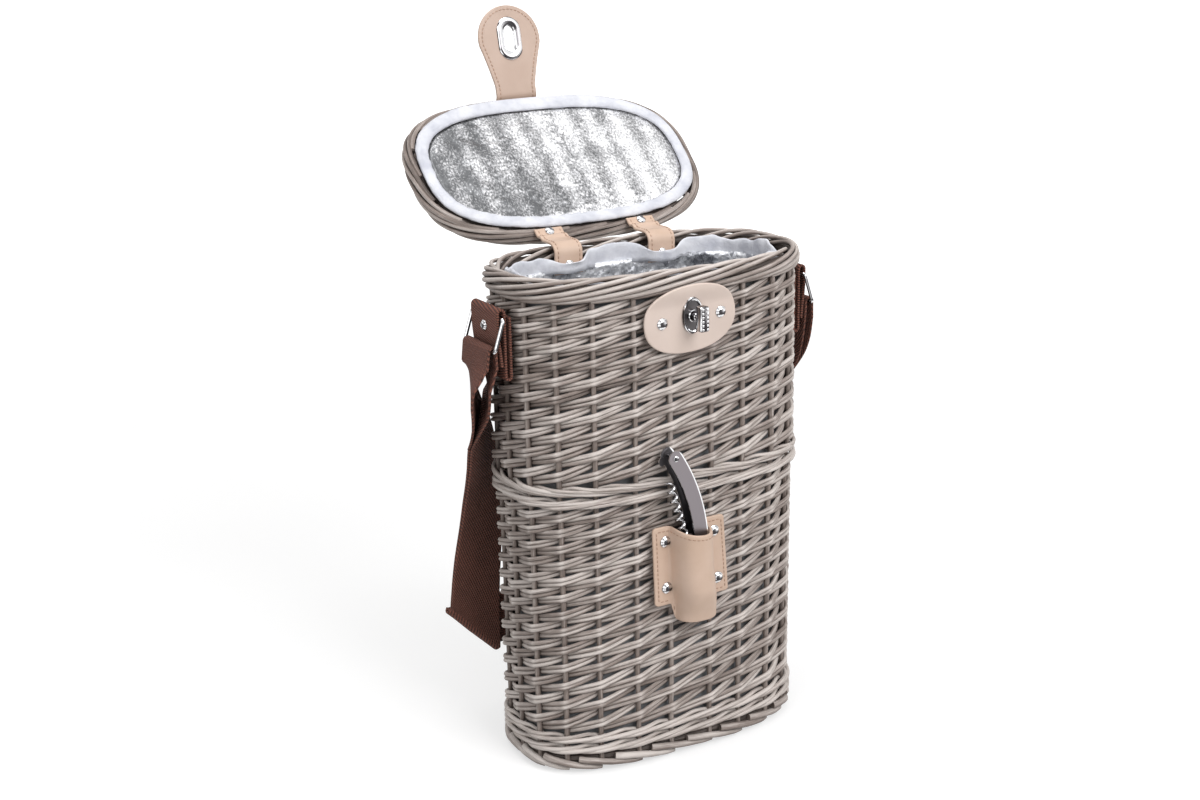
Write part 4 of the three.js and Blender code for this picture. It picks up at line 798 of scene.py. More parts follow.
def make_foot():
    batch = Batch()
    wale(batch, 26.0, FOOT_HALF - 2.6, 1.6, 1, 3)
    wale(batch, 17.9, FOOT_HALF - 2.6, 1.7, 1, 3)
    # The core's low tone is painted shade between the foot's rods.
    core_ring(batch, FOOT_HALF - 6.5, 9.0, 3.2, -0.2)
    v, inner = np.linspace(0, 1, 30), np.linspace(0, 1, 16)
    for i in range(STAKES):
        w = i + 0.3 + 1.75 * v + rng.normal(0, 0.05)
        z = np.interp(v, [0, 0.25, 0.6, 1], [10.6, 9.3, 6.2, 2.9]) + rng.normal(0, 0.25)
        out = np.interp(v, [0, 0.12, 0.5, 0.85, 1], [1.6, 2.5, 2.4, 0.6, -1.5])
        fat = np.interp(v, [0, 0.5, 1], [2.5, 2.35, 1.7]) * (1 + rng.normal(0, 0.04))
        points, normals = ring(stake_share(w), FOOT_HALF - 3.2, np.maximum(z, fat + 0.05), out)
        tone = np.clip(0.5 + rng.normal(0, 0.12), 0.1, 0.9)
        batch.tube(points, fat, normals + UP * 0.3, tone, 10, squash=0.9)
        z = np.interp(inner, [0, 0.5, 1], [11.5, 7.5, 3.5])
        points, normals = ring(stake_share(i + 0.15 + 1.9 * inner), FOOT_HALF - 8.5, z, 0.5 - 2.5 * inner)
        batch.tube(points, 2.3, normals + UP * 0.3, tone * 0.8)
    willow_piece(batch, "plaited_foot", "foot_border")


def flat_weave(half, height, amplitude, radius, step, gap=22):
    """Sticks across the short way and rods woven through them along the long way, to the oval's edge."""
    batch = Batch()
    depth = half - SIDE_TO_FRONT
    for x in np.arange(-4, 5) * gap:
        end = depth * (1 - (abs(x) / half) ** POWER) ** (1 / POWER)
        y = np.linspace(-end, end, 16)
        points = np.stack([x + wander(y, 400 + x, 0.04) * 0.6, y, y * 0 + height], 1)
        batch.tube(points, radius * 1.35, UP, np.clip(0.42 + rng.normal(0, 0.1), 0.1, 0.8))
    rows = int(2 * (depth - radius) / step)
    for r in range(rows):
        middle = (r - (rows - 1) / 2) * step
        end = half * (1 - min(abs(middle) / depth, 0.999) ** POWER) ** (1 / POWER)
        x = np.linspace(-end, end, max(12, int(end * 2 / gap * 7)))
        lift = amplitude * stake_wave(math.pi * x / gap + math.pi * (r // 2 % 2))
        y = middle + wander(x, 430 + r, 0.05) * 0.35
        fat = radius * (1 + 0.08 * wander(x, 480 + r, 0.02))
        tone = np.clip(0.5 + rng.normal(0, 0.16), 0.1, 0.92)
        batch.tube(np.stack([x, y, height + lift], 1), fat, UP, tone)
    return batch


def make_flat_weaves():
    floor = flat_weave(FOOT_HALF - 13.3, 4.6, 2.4, 1.6, 3.35)
    willow_piece(floor, "woven_floor", "floor_panel", material=WILLOW_DARK)
    border = Batch()
    centre = LID_HALF - 5.9
    rolled_border(border, centre, LID_MIDDLE, 6.0, (-110, 215), (4.2, 5.4), (1.65, 1.25), 0.6)
    # The cores' low tone is painted shade between the lid border's rods.
    for half in (centre, centre - 7.4):
        core_ring(border, half, LID_MIDDLE, 2.9, -0.1)
    panel = flat_weave(LID_HALF - 12.0, 364.2, 2.7, 1.75, 3.6)
    willow_piece(border, "lid_rolled_border", "lid_border", "lid", open_lid)
    willow_piece(panel, "lid_woven_panel", "lid_panel", "lid", open_lid)


# Lining
BAG_HEIGHTS = [9.6, 16.5, 23.5, 197, 323.7, 330.7]
BAG_HALVES = [94.6, 94.6, 99.4, 100.6, 100.6, 99.9]
BAG_THICKNESS = 1.6
BAG_INSIDE = 11.4
BAG_CREASES = [(1.3, 21, 0.06, 0.06, 0.045), (0.8, 22, 0.16, 0.16, 0.13), (0.4, 23, 0.4, 0.4, 0.32)]
FLOOR_CREASES = [(0.8, 24, 0.09, 0.09, 0)]
TAPE_HALF = RIM_HALF - RIM_WIDTH - 0.5
TAPE_TOP = 345.0
TAPE_BOTTOM = 331.4
# Where the tape passes in front of a hinge strap it lies lower and further in
STRAP_REACH = 15
LOW_TAPE_TOP = 338.5
TAPE_TUCK = 8.6
TAPE_SECTION = [
    (-0.2, 0.0), (-0.2, 0.25), (-0.1, 0.5), (0.0, 0.75), (-0.2, 0.92), (-0.8, 1.0), (-1.6, 1.0),
    (-2.1, 0.92), (-2.4, 0.75), (-2.3, 0.5), (-2.2, 0.25), (-2.2, 0.0),
]
TAPE_PUCKERS = [(1.3, 34, 0.13, 0.13, 0.16), (0.5, 36, 0.32, 0.32, 0.3)]
PAD_HALF = 98.5
PAD_FACE = 354.5
PAD_BACK = 359.4
PAD_CREASES = [(0.5, 42, 0.2, 0.26, 0), (0.22, 43, 0.5, 0.6, 0)]
BINDING_SECTION = [
    (98.9, 354.4), (98.7, 353.2), (99.6, 352.1), (102, 351.7),
    (104.6, 351.9), (106.7, 352.6), (107.4, 353.6), (107.3, 354.5),
]
LEFT_HINGE_X = -34
RIGHT_HINGE_X = 41


def make_bag():
    count = 264
    share = np.arange(count) / count
    batch = Batch()
    outside, inside = [], []
    levels = [np.linspace(9.6, 23.5, 5), np.linspace(27, 323.7, 62), np.linspace(325, 334, 4)]
    for z in np.concatenate(levels):
        half = np.interp(z, BAG_HEIGHTS, BAG_HALVES)
        outside.append(ring(share, half, z)[0])
        points, normals = ring(share, half - BAG_THICKNESS, max(z, BAG_INSIDE))
        inward = -0.7 - np.abs(crumple(points[:, 0], points[:, 1], z, BAG_CREASES)) * 1.4
        inside.append(points + normals * inward[:, None] * (0.4 if z < 24 else 1))
    batch.grid(outside, wrap_v=True, slot=1)
    batch.grid(inside, wrap_v=True, flip=True)
    batch.grid([outside[-1], inside[-1]], wrap_v=True)
    for level, edge, crease in ((BAG_HEIGHTS[0], outside[0], 0), (BAG_INSIDE, inside[0], 1)):
        loops = [edge]
        for k in np.linspace(1, 0.02, 12)[1:]:
            x, y = edge[:, 0] * k, edge[:, 1] * k
            height = level + crease * (crumple(x, y, 0, FLOOR_CREASES) + 0.9)
            loops.append(np.stack([x, y, height], 1))
        batch.disc(loops, 1 - crease, not crease)
    bag = batch.piece("foil_lining", [FOIL, LINER_BACK], "foil", "basket", ["foil_bag"])


def make_mouth_tape():
    share = np.arange(300) / 300
    turn = share * 2 * math.pi

    def around(scale, seed):
        return noise(np.cos(turn) * scale, np.sin(turn) * scale, 0, seed)

    fine = around(13, 32)
    top = TAPE_TOP + 2.6 * around(3.1, 31) + 1.7 * around(7, 35) + 0.9 * fine
    bottom = TAPE_BOTTOM + 0.8 * fine
    lean = np.abs(1.4 * around(6, 33))
    rows = []
    for out, k in TAPE_SECTION:
        points, normals = ring(share, TAPE_HALF, bottom + (top - bottom) * k)
        x, y, z = points.T
        pucker = np.abs(crumple(x, y, z, TAPE_PUCKERS))
        strap = [np.exp(-(((x - place) / STRAP_REACH) ** 4)) for place in (LEFT_HINGE_X, RIGHT_HINGE_X)]
        over = np.maximum(*strap) * (y > 20)
        points[:, 2] -= np.maximum(z - LOW_TAPE_TOP, 0) * over
        shift = out - lean * k - pucker * (1 - 0.5 * over) - TAPE_TUCK * over
        rows.append(points + normals * shift[:, None])
    batch = Batch()
    batch.grid(rows, wrap_u=True, wrap_v=True)
    batch.piece("lining_edge", [CLOTH], "tape", "basket", ["mouth_tape"])


def make_pad():
    batch = Batch()
    edge = ring(np.arange(264) / 264, PAD_HALF, 0)[0]
    loops = []
    for k in np.linspace(1, 0.0, 40)[:-1]:
        x, y = edge[:, 0] * k, edge[:, 1] * k
        crush = 0.9 * noise(x * 0.07 + y * 0.05, y * 0.12, 0, 41) + crumple(x, y, 0, PAD_CREASES)
        loops.append(np.stack([x, y, PAD_FACE - 2.2 * (1 - k**3) + crush * smooth((1 - k) * 12)], 1))
    back = [edge * k + UP * PAD_BACK for k in (1, 0.6, 0.2, 0.02)]
    batch.disc(loops)
    batch.grid([loops[0], back[0]], wrap_v=True)
    batch.disc(back)
    pad = batch.piece("lid_foil_pad", [PAD_FOIL], "foil", "lid", ["lid_pad"], open_lid)


def make_lid_binding():
    share = np.arange(320) / 320
    overlap = smooth((0.03 - (share - 0.63) % 1.0) / 0.004) * 0.7
    front = np.exp(-(((share - 0.75) / 0.16) ** 4))
    rows = []
    for half, z in BINDING_SECTION:
        points, normals = ring(share, half, z, 3.2 * front * smooth((half - 99) / 6))
        x, y = points[:, 0], points[:, 1]
        pucker = noise(x * 0.22, y * 0.22, half * 0.2, 44) + 0.8 * noise(x * 0.6, y * 0.6, half * 0.5, 45)
        if z < PAD_FACE - 0.5:
            points[:, 2] += 0.35 * pucker - overlap
        rows.append(points + normals * 0.3 * pucker[:, None])
    batch = Batch()
    batch.grid(rows, wrap_u=True, wrap_v=True)
    batch.piece("lid_binding", [CLOTH], "tape", "lid", ["lid_tape"], open_lid)


# Leather
LEATHER_HALF = 1.0
HINGE_STRAP_HALF = 11
HASP_LENGTH = 69.1
HASP_HEAD = 25.5
HASP_ROOT = 16.5
SLOT_SIZE = (6.0, 11.0)
EYELET_SECTION = [
    (0.0, -1.2), (0.0, 1.2), (0.12, 1.7), (0.3, 2.1), (0.55, 2.4), (0.78, 2.3), (0.94, 1.8), (1.0, 1.05),
    (1.0, -1.05), (0.85, -1.9), (0.6, -2.25), (0.32, -2.3), (0.1, -1.9),
]
PATCH_PLACE = (-4.0, 316.2)
PATCH_HALVES = (35.2, 22.8)
PATCH_TURN = math.radians(-3.2)
PATCH_Y = -63.4
PATCH_POWER = 0.87
PATCH_STEP = 2.4
POCKET_SEAM = 3.2
POCKET_CORNER = 3.0
POCKET_REAR = -61.0
POCKET_MIDDLE = -5.4
POCKET_FLAPS = (-33.0, 25.5)
POCKET_TOP = 175
POCKET_BOTTOM = 118
TUBE_HALF = 13.7
TUBE_REACH = 20.7


def make_hinge_strap(name, middle, inside):
    def under_tape(along):
        outward = np.array([math.cos(math.pi - LID_ANGLE), math.sin(LID_ANGLE)])
        inward = np.array([-math.sin(LID_ANGLE), math.cos(math.pi - LID_ANGLE)])
        return np.array([HINGE_Y, HINGE_Z]) + outward * along - inward * 0.9

    points = [(inside, 330), (inside, 337), (inside, 345), (inside + 1.5, 348.75), (inside + 5, 351.3)]
    points += [(57.4, 351.3), (62.4, 351.9), (65.65, 353.55), under_tape(1.75), under_tape(8.3)]
    line = spline(points, 12)
    path = Path(np.stack([line[:, 0] * 0 + middle, line[:, 0], line[:, 1]], 1))
    rows, row_shares = edged(0, path.length, 0.8)
    columns, column_shares = edged(-HINGE_STRAP_HALF, HINGE_STRAP_HALF, 1.5)
    places, along = path.at(rows, 1.0)
    normals = np.cross(ACROSS, along)
    ripple = 0.25 * np.sin(rows * 0.45)[:, None] * (columns / HINGE_STRAP_HALF) ** 2
    grid = places[:, None] + columns[:, None] * ACROSS + normals[:, None] * ripple[..., None]
    batch = Batch()
    batch.slab(grid, normals[:, None], LEATHER_HALF, row_shares, column_shares)
    inner = slice(5, -5)
    for side in (-8.4, 8.4):
        batch.stitches(places[inner] + side * ACROSS + normals[inner] * LEATHER_HALF, normals[inner])
    obj = batch.piece("leather_" + name, [POCKET_LEATHER, THREAD], "leather", nodes=[name])
    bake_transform(obj)


def hasp_path():
    """The hasp's middle line on the closed lid, and the lengths at its bend and its slot."""
    away = np.array([-math.cos(HASP_ANGLE), -math.sin(HASP_ANGLE)])
    hinge = np.array([HASP_Y, HASP_Z])
    over = arc((-64.4, 365.1), 5, 90, 180, 16)
    turn = bend(hinge + (0, 3.0), hinge, hinge + away * 3.0, np.linspace(0, 1, 12)[:, None])
    line = np.concatenate([[[-31.4, 370.1], [-64.4, 370.1]], over[1:], turn, [hinge + away * HASP_LENGTH]])
    path = Path(np.stack([line[:, 0] * 0 + HASP_X, line[:, 0], line[:, 1]], 1))
    return path, path.length - HASP_LENGTH, path.length - HASP_HEAD


def oblong(half_width, half_length, angle):
    """A point of an upright oblong with round ends in the direction of an angle from its middle."""
    straight = half_length - half_width
    x, z = np.cos(angle), np.sin(angle)
    side = half_width / np.maximum(np.abs(x), 1e-9)
    b = np.abs(z) * straight
    end = b + np.sqrt(np.maximum(b * b - (straight**2 - half_width**2), 0))
    reach = np.where(side * np.abs(z) <= straight, side, end)
    return np.stack([x * reach, z * reach], -1)


def hasp_outline(pivot, centre):
    """The hasp's edge as (x, length): the root, the straight neck, the flare and the round head."""
    root = arc((0, HASP_ROOT), HASP_ROOT, -90, 0, 24)
    neck = np.array([[HASP_ROOT, pivot + 8.7]])
    t = np.linspace(0, 1, 14)[1:, None]
    shoulder = np.array([HASP_HEAD * 0.985, pivot + 43.6 - HASP_HEAD * 0.174])
    flare = bend(neck, np.array([19.6, pivot + 23.0]), shoulder, t)
    head = arc((0, centre), HASP_HEAD, -10, 90, 30)
    head[:, 1] = centre + (head[:, 1] - centre) * 0.97
    half = Path(np.concatenate([root, neck, flare, head[1:]]))
    right = half.raw(np.linspace(0, half.length, 120))
    return np.concatenate([right, right[::-1][1:-1] * (-1, 1)])


def polar_sheet(inner, outer, step):
    """Loops from an inner to an outer loop of 2-D points, with the thickness share of each."""
    width = np.linalg.norm(outer - inner, axis=1)[:, None]
    near = [d / width for d in ROUND_STEPS * LEATHER_ROUND]
    low, high = near[-1], 1 - near[-1]
    middle = [low + (high - low) * m for m in np.linspace(0, 1, int(width.max() / step))[1:-1]]
    loops = [inner + (outer - inner) * d for d in near + middle + [1 - d for d in near[::-1]]]
    edge = np.sqrt(1 - (1 - ROUND_STEPS) ** 2)
    return np.array(loops), np.concatenate([edge, np.ones(len(middle)), edge[::-1]])


def make_hasp():
    path, pivot, centre = hasp_path()
    outer = hasp_outline(pivot, centre)
    angle = np.arctan2(outer[:, 1] - centre, outer[:, 0])
    loops, shares = polar_sheet(oblong(*SLOT_SIZE, angle) + (0, centre), outer, 1.0)

    def place(flat):
        points, along = path.at(flat[..., 1], 0.9)
        return points + flat[..., :1] * ACROSS, np.cross(along, ACROSS)

    middle, normals = place(loops)
    batch = Batch()
    batch.slab(middle, normals, LEATHER_HALF, shares, np.ones(len(outer)), wrap=True)
    toward = unit(outer - np.roll(outer, 1, 0))
    toward = unit(toward + np.roll(toward, -1, 0))
    inset = outer + np.stack([-toward[:, 1], toward[:, 0]], 1) * 3.0
    line, up = place(np.concatenate([inset, inset[:1]]))
    for side in (-1, 1):
        batch.stitches(line + up * side * LEATHER_HALF, up * side)
    nodes = ["hasp_root", "hasp_tab"]
    obj = batch.piece("leather_hasp", [LEATHER, THREAD], "leather", nodes=nodes, place=open_lid)
    ends = [open_lid(path.raw(pivot + d)) * 0.001 for d in (-5, 5)]
    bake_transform(obj)

    rows = []
    for f, h in EYELET_SECTION:
        points, up = place(oblong(4.4 + f * 5.4, 9.6 + f * 6.6, circle(96)) + (0, centre))
        rows.append(points - up * h)
    batch = Batch()
    batch.grid(rows, wrap_u=True, wrap_v=True)
    batch.piece("chrome_eyelet", [CHROME], "chrome", "hasp", ["hasp_eyelet"], open_lid, crease=38)


def make_patch():
    a = circle(200)
    outer = signed_power(np.stack([np.cos(a), np.sin(a)], 1), PATCH_POWER) * PATCH_HALVES
    loops, shares = polar_sheet(outer * 0.002, outer, 0.9)
    # The first loops lie under the lock plate and are left out
    loops, shares = loops[4:], shares[4:]
    c, s = math.cos(PATCH_TURN), math.sin(PATCH_TURN)
    x = loops[..., 0] * c + loops[..., 1] * s + PATCH_PLACE[0]
    z = loops[..., 1] * c - loops[..., 0] * s + PATCH_PLACE[1]

    def over_rim(height):
        return -PATCH_STEP * smooth((height - 324) / 13)

    middle = np.stack([x, PATCH_Y + over_rim(z) + 0.25 * noise(x * 0.06, z * 0.06, 0, 51), z], -1)
    slope = (over_rim(z + 0.1) - over_rim(z - 0.1)) / 0.2
    normals = unit(np.stack([x * 0, x * 0 - 1, slope], -1))
    batch = Batch()
    batch.slab(middle, normals, LEATHER_HALF, shares, np.ones(len(a)), wrap=True)
    batch.piece("leather_patch", [PATCH_LEATHER], "leather", "basket", ["lock_patch"], weld=WIDE_WELD)


def pocket_section():
    """The pocket's middle line in X and Y, from the left flap's edge round the tube to the right one."""
    a = np.linspace(math.pi, 0, 90)
    x = POCKET_MIDDLE + TUBE_HALF * signed_power(np.cos(a), 2 / 2.6)
    y = POCKET_REAR - TUBE_REACH * np.abs(np.sin(a)) ** (2 / 2.6)
    flap = POCKET_REAR - LEATHER_HALF
    tube = [(px, py) for px, py in zip(x, y) if py < flap - 3.2]
    fold = [(3.4, flap), (1.4, flap - 0.35), (0.2, flap - 1.6)]
    left = [(x[0] - out, py) for out, py in fold]
    right = [(x[-1] + out, py) for out, py in fold[::-1]]
    return Path([(POCKET_FLAPS[0], flap)] + left + tube + right + [(POCKET_FLAPS[1], flap)])


def make_pocket():
    section = pocket_section()
    total = section.length
    columns, column_shares = edged(0, total, 1.0)
    flat, along = section.at(columns, 1.2)
    left_fold = section.lengths[2]
    right_fold = total - (POCKET_FLAPS[1] - (POCKET_MIDDLE + TUBE_HALF) - 1.4)
    inset = np.maximum(POCKET_CORNER - np.minimum(columns, total - columns), 0)
    rounding = POCKET_CORNER - np.sqrt(np.maximum(POCKET_CORNER**2 - inset**2, 0))
    tube = smooth((columns - left_fold) / 1.6) * smooth((right_fold - columns) / 1.6)
    bottom = POCKET_BOTTOM - 12 * tube + rounding * (1 - tube)
    arch = np.clip((columns - left_fold + 5) / (right_fold - left_fold + 10), 0, 1)
    top = POCKET_TOP - 4.2 * np.sin(math.pi * arch**1.3) ** 2 - rounding
    rows, row_shares = edged(0, POCKET_TOP - POCKET_BOTTOM, 1.2)
    z = bottom + (top - bottom) * (rows / rows[-1])[:, None]
    lean = 2.6 * tube * smooth((140 - z) / 30) - (0.03 + 0.04 * columns / total) * (z - 139)
    pinch = 1 - 0.34 * smooth((132 - z) / 28)
    x = flat[:, 0] + lean
    y = POCKET_REAR + (flat[:, 1] - POCKET_REAR) * pinch
    middle = np.stack([x, y, z], -1)
    normals = np.stack([along[:, 1], -along[:, 0], columns * 0], 1)
    batch = Batch()
    batch.slab(middle, normals, LEATHER_HALF, row_shares, column_shares)

    def sew_across(height, first, last):
        line = []
        keep = np.where((columns > first) & (columns < last))[0]
        for k in keep:
            level = [height[k]]
            line.append(np.concatenate([[np.interp(level, z[:, k], v[:, k])[0] for v in (x, y)], level]))
        batch.stitches(np.array(line) + normals[keep] * LEATHER_HALF, normals[keep])

    def sew_down(place, keep):
        k = int(np.argmin(np.abs(columns - place)))
        rows_kept = keep(z[:, k], bottom[k])
        line = middle[rows_kept, k] + normals[k] * LEATHER_HALF
        batch.stitches(line, np.broadcast_to(normals[k], line.shape))

    sew_across(top - POCKET_SEAM, 3.0, total - 3.0)
    sew_across(bottom + POCKET_SEAM, 3.0, left_fold - 1.0)
    sew_across(bottom + POCKET_SEAM, right_fold + 1.0, total - 3.0)
    for place in (3.0, total - 3.0):
        sew_down(place, lambda height, low: slice(6, -6))
    for place in (left_fold + 1.5, right_fold - 1.6):
        sew_down(place, lambda height, low: (height > low + 3) & (height < POCKET_BOTTOM))
    batch.piece("leather_pocket", [POCKET_LEATHER, THREAD], "leather", "basket", ["corkscrew_pocket"])


# Chrome
FORWARD = (0, -1, 0)
DOME = [
    (0, 0), (1, 0), (1.02, 0.12), (1, 0.26), (0.93, 0.36), (0.86, 0.42), (0.8, 0.56),
    (0.68, 0.76), (0.5, 0.91), (0.28, 0.98), (0.12, 1), (0, 1),
]
SMALL_HEAD = (3.3, 1.7)
TAB_HEAD = (3.6, 2.0)
PATCH_HEAD = (3.9, 2.0)
LARGE_HEAD = (4.1, 2.4)
FRONT_RIVETS = [
    ("wall_rivet_left", SMALL_HEAD, (0, 0, 0)),
    ("wall_rivet_right", SMALL_HEAD, (0, 0, 0)),
    ("patch_rivet_left", PATCH_HEAD, (-0.6, 0, -3.0)),
    ("patch_rivet_right", PATCH_HEAD, (0, 0, -0.7)),
    ("pocket_rivet_high_left", LARGE_HEAD, (2.2, 0, 0.8)),
    ("pocket_rivet_high_right", LARGE_HEAD, (-0.8, 0, 0.8)),
    ("pocket_rivet_low_left", LARGE_HEAD, (0.8, 0, 1.2)),
    ("pocket_rivet_low_right", LARGE_HEAD, (0, 0, 0)),
]
KNOB_BACK = -73.9
PLATE_HALVES = (7.6, 12.4)
PLATE_Y = -64.7
PLATE_SECTION = [(0.0, 0.35), (0.8, 0.35), (0.82, 1.25), (0.88, 1.75), (0.95, 1.6), (1.0, 0.9), (1.0, 0)]
SPINDLE = [(0, 0), (2.6, 0), (2.6, 5.0), (2.2, 5.6), (2.2, 6.4), (2.9, 7.2), (2.9, 9.4), (0, 9.4)]
WASHER = [(4.1, 0), (4.1, 2.0), (3.7, 2.4), (2.9, 2.4), (2.75, 2.0), (2.75, 0.5)]
BEAD = [(0, -1.0), (0.75, -0.6), (1.1, 0), (1.0, 0.5), (0.7, 0.9), (0.3, 1.1), (0, 1.15)]
KNOB_SECTION = [
    (-3.4, 0.7), (-3.1, 0.2), (-2.4, 0), (2.4, 0), (3.1, 0.2), (3.4, 0.7),
    (3.4, 5.6), (2.9, 6.2), (2.2, 6.5), (-2.2, 6.5), (-2.9, 6.2), (-3.4, 5.6),
]
KNOB_ENDS = [
    (-8.5, 0.55), (-8.35, 0.8), (-7.9, 0.95), (-7.2, 1.0), (7.2, 1.0), (7.9, 0.95), (8.35, 0.8), (8.5, 0.55),
]
WORM_TOP = np.array([-5.8, -69.45, 152])
WORM_LEAN = math.radians(-16.1)
WORM_HUB = [(0, -3.1), (2.5, -3.1), (2.9, -2.7), (2.9, 2.7), (2.5, 3.1), (0, 3.1)]
RING_BAR_X = 119.0
RING_BAR_Z = 322.5
RING_TILT = math.radians(18)
RING_HALF = 22.2
RING_LENGTH = 22.4
RING_CORNER = 2.6
RING_RADIUS = 1.3


def node_box(name):
    """The lowest, middle and highest corner of a node, in millimetres."""
    low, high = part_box(name)
    low, high = np.array(low) * 1000, np.array(high) * 1000
    return low, (low + high) / 2, high


def chrome_piece(batch, name, body, node, crease=None, move=None, materials=(CHROME,)):
    batch.piece("chrome_" + name, materials, "chrome", body, [node], move, FINE_WELD, crease)


def rivet(name, place, direction, head, body, move=None):
    batch = Batch()
    batch.lathe([(r * head[0], h * head[1]) for r, h in DOME], place, direction)
    chrome_piece(batch, name, body, name, move=move)


def make_rivets():
    for name, head, shift in FRONT_RIVETS:
        low, middle, high = node_box(name)
        x, _, z = middle + shift
        rivet(name, (x, high[1] + 0.3, z), FORWARD, head, "basket")
    for name, side in (("tab_rivet_left", -1), ("tab_rivet_right", 1)):
        low, middle, high = node_box(name)
        back = high[0] if side < 0 else low[0]
        rivet(name, (back - side * 0.3, middle[1], middle[2]), (side, 0, 0), TAB_HEAD, "basket")
    for name, x in (("lid_rivet_left", LEFT_HINGE_X), ("lid_rivet_right", RIGHT_HINGE_X)):
        rivet(name, (x, 62.4, 352.4), (0, 0, -1), SMALL_HEAD, "lid", open_lid)
    for name, x in (("hasp_rivet_left", HASP_X - 8.25), ("hasp_rivet_right", HASP_X + 8.25)):
        rivet(name, (x, -47.9, 371.1), (0, 0, 1), LARGE_HEAD, "lid", open_lid)


def make_lock():
    a = circle(80)
    rows = []
    for f, h in PLATE_SECTION:
        x = HASP_X + PLATE_HALVES[0] * f * np.cos(a)
        z = LOCK_Z + PLATE_HALVES[1] * f * np.sin(a)
        rows.append(np.stack([x, x * 0 + PLATE_Y - h, z], 1))
    batch = Batch()
    batch.grid(rows[:2], wrap_v=True, slot=1)
    batch.grid(rows[1:], wrap_v=True)
    batch.lathe(WASHER, (HASP_X, -65.0, LOCK_Z), FORWARD)
    chrome_piece(batch, "lock_plate", "basket", "lock_plate", 30, materials=(CHROME, RECESS))

    batch = Batch()
    batch.lathe(SPINDLE, (HASP_X, -65.6, LOCK_Z), FORWARD)
    across, deep = np.array(KNOB_SECTION).T
    rows = []
    for z, scale in KNOB_ENDS:
        y = KNOB_BACK - 3.25 - (deep - 3.25) * scale
        rows.append(np.stack([HASP_X + across * scale, y, y * 0 + LOCK_Z + z], 1))
    batch.grid(rows, wrap_v=True)
    for row, flip in ((rows[0], True), (rows[-1], False)):
        batch.disc([row, row * 0.5 + row.mean(0) * 0.5], 0, flip)
    for x in (-1.75, 1.75):
        for z in np.linspace(-6.6, 6.6, 6):
            batch.lathe(BEAD, (HASP_X + x, KNOB_BACK - 6.3, LOCK_Z + z), FORWARD, 16)
    chrome_piece(batch, "turn_knob", "knob", "turn_knob", 32)


def make_worm():
    turns = np.linspace(0, 6.5, 240)
    reach = 2.45 * smooth(turns / 0.5) ** 0.7
    a = turns * 2 * math.pi
    coil = np.stack([reach * np.cos(a), reach * np.sin(a), 14 + 7 * turns], 1)
    x, y, z = np.concatenate([np.linspace(0, 13.5, 12)[:, None] * UP, coil]).T
    c, s = math.cos(WORM_LEAN), math.sin(WORM_LEAN)
    leaning = np.stack([(x - 2.6) * c + z * s, y, z * c - (x - 2.6) * s], 1) + WORM_TOP
    tail = np.arange(len(x))[::-1]
    batch = Batch()
    batch.tube(leaning, 1.05 * np.clip(0.12 + tail / 26, 0, 1), (0.1, 1.0, 0.05), sides=12)
    batch.lathe(WORM_HUB, WORM_TOP, (0, 1, 0))
    chrome_piece(batch, "worm", "corkscrew", "corkscrew_worm")


def make_pins():
    for name in ("knife_pin", "lever_pin", "worm_pin"):
        low, middle, high = node_box(name)
        length = high[1] - low[1]
        profile = [(0, 0), (1.9, 0), (2.0, 0.2), (2.0, 0.3), (1.1, 0.3)]
        head = [(1.1, 0.6), (2.0, 0.6), (2.0, 0.35), (1.6, 0.08), (0.8, 0), (0, 0)]
        profile += [(radius, length - below) for radius, below in head]
        batch = Batch()
        batch.lathe(profile, (middle[0], high[1], middle[2]), FORWARD, 24)
        chrome_piece(batch, name, "corkscrew", name, 35)


def make_ring(name, side):
    inner, low = RING_HALF - RING_CORNER, RING_CORNER - RING_LENGTH
    corners = [(inner, -RING_CORNER, 90), (inner, low, 0), (-inner, low, -90), (-inner, -RING_CORNER, -180)]
    flat = np.concatenate([arc((x, z), RING_CORNER, start, start - 90, 9) for x, z, start in corners])
    dense = Path(np.concatenate([flat, flat[:1]]))
    flat = dense.raw(np.linspace(0, dense.length, 140, endpoint=False))
    c, s = math.cos(RING_TILT), math.sin(RING_TILT)
    x = side * (RING_BAR_X - flat[:, 1] * s)
    batch = Batch()
    points = np.stack([x, flat[:, 0], RING_BAR_Z + flat[:, 1] * c], 1)
    batch.tube(points, RING_RADIUS, (side * c, 0, s), sides=14, closed=True)
    batch.piece("chrome_ring_" + name, [CHROME], "chrome", name + "_ring", ["ring_" + name], weld=None)


# Webbing; each point of the strap's route is x, y, z, the way it faces and the slant of its rows
WEBBING_HALF = 0.9
WEBBING_COLUMNS = edged(-19, 19, 1.6, WEBBING_ROUND)
STRAP_DOWN = [
    (-125.9, 0, 289.2, 0, 0), (-126.2, 0.2, 284.5, 9, 0), (-126.3, 1.4, 279, 21, 0),
    (-125.8, 5.5, 269, 28.5, 0), (-123, 14.5, 254, 32, 0), (-116.5, 28, 236, 47, 0),
    (-108.5, 41, 210, 59, 0), (-103.8, 52, 182, 69, 0), (-102.6, 58.5, 155, 77, 0),
    (-104.5, 62, 128, 84, 0), (-106.3, 63.3, 106, 88, 8), (-107.2, 63.8, 90, 90, 25),
    (-107.5, 63.85, 74, 90, 45),
]
STRAP_UP = [
    (-107.5, 69.15, 74, -90, 45), (-92, 69.2, 75, -90, 24), (-72, 69.5, 76.5, -90, 4),
    (-40, 70, 79.5, -90, 0), (-5, 70.5, 85, -90, 0), (30, 71, 96, -88, 0),
    (62, 70, 116, -84, 0), (85, 65, 145, -74, 0),
    (99, 56, 178, -64, 0), (108.5, 42, 210, -55, 0), (116, 27, 240, -43, 0), (123.5, 10, 268, -22, 0),
    (125.9, 0, 289.2, 0, 0),
]
LEG_STEPS = 14
LEFT_END = 5 * LEG_STEPS
RIGHT_END = 10 * LEG_STEPS
RING_LOW_X = 125.9
RING_LOW_Z = 301.2
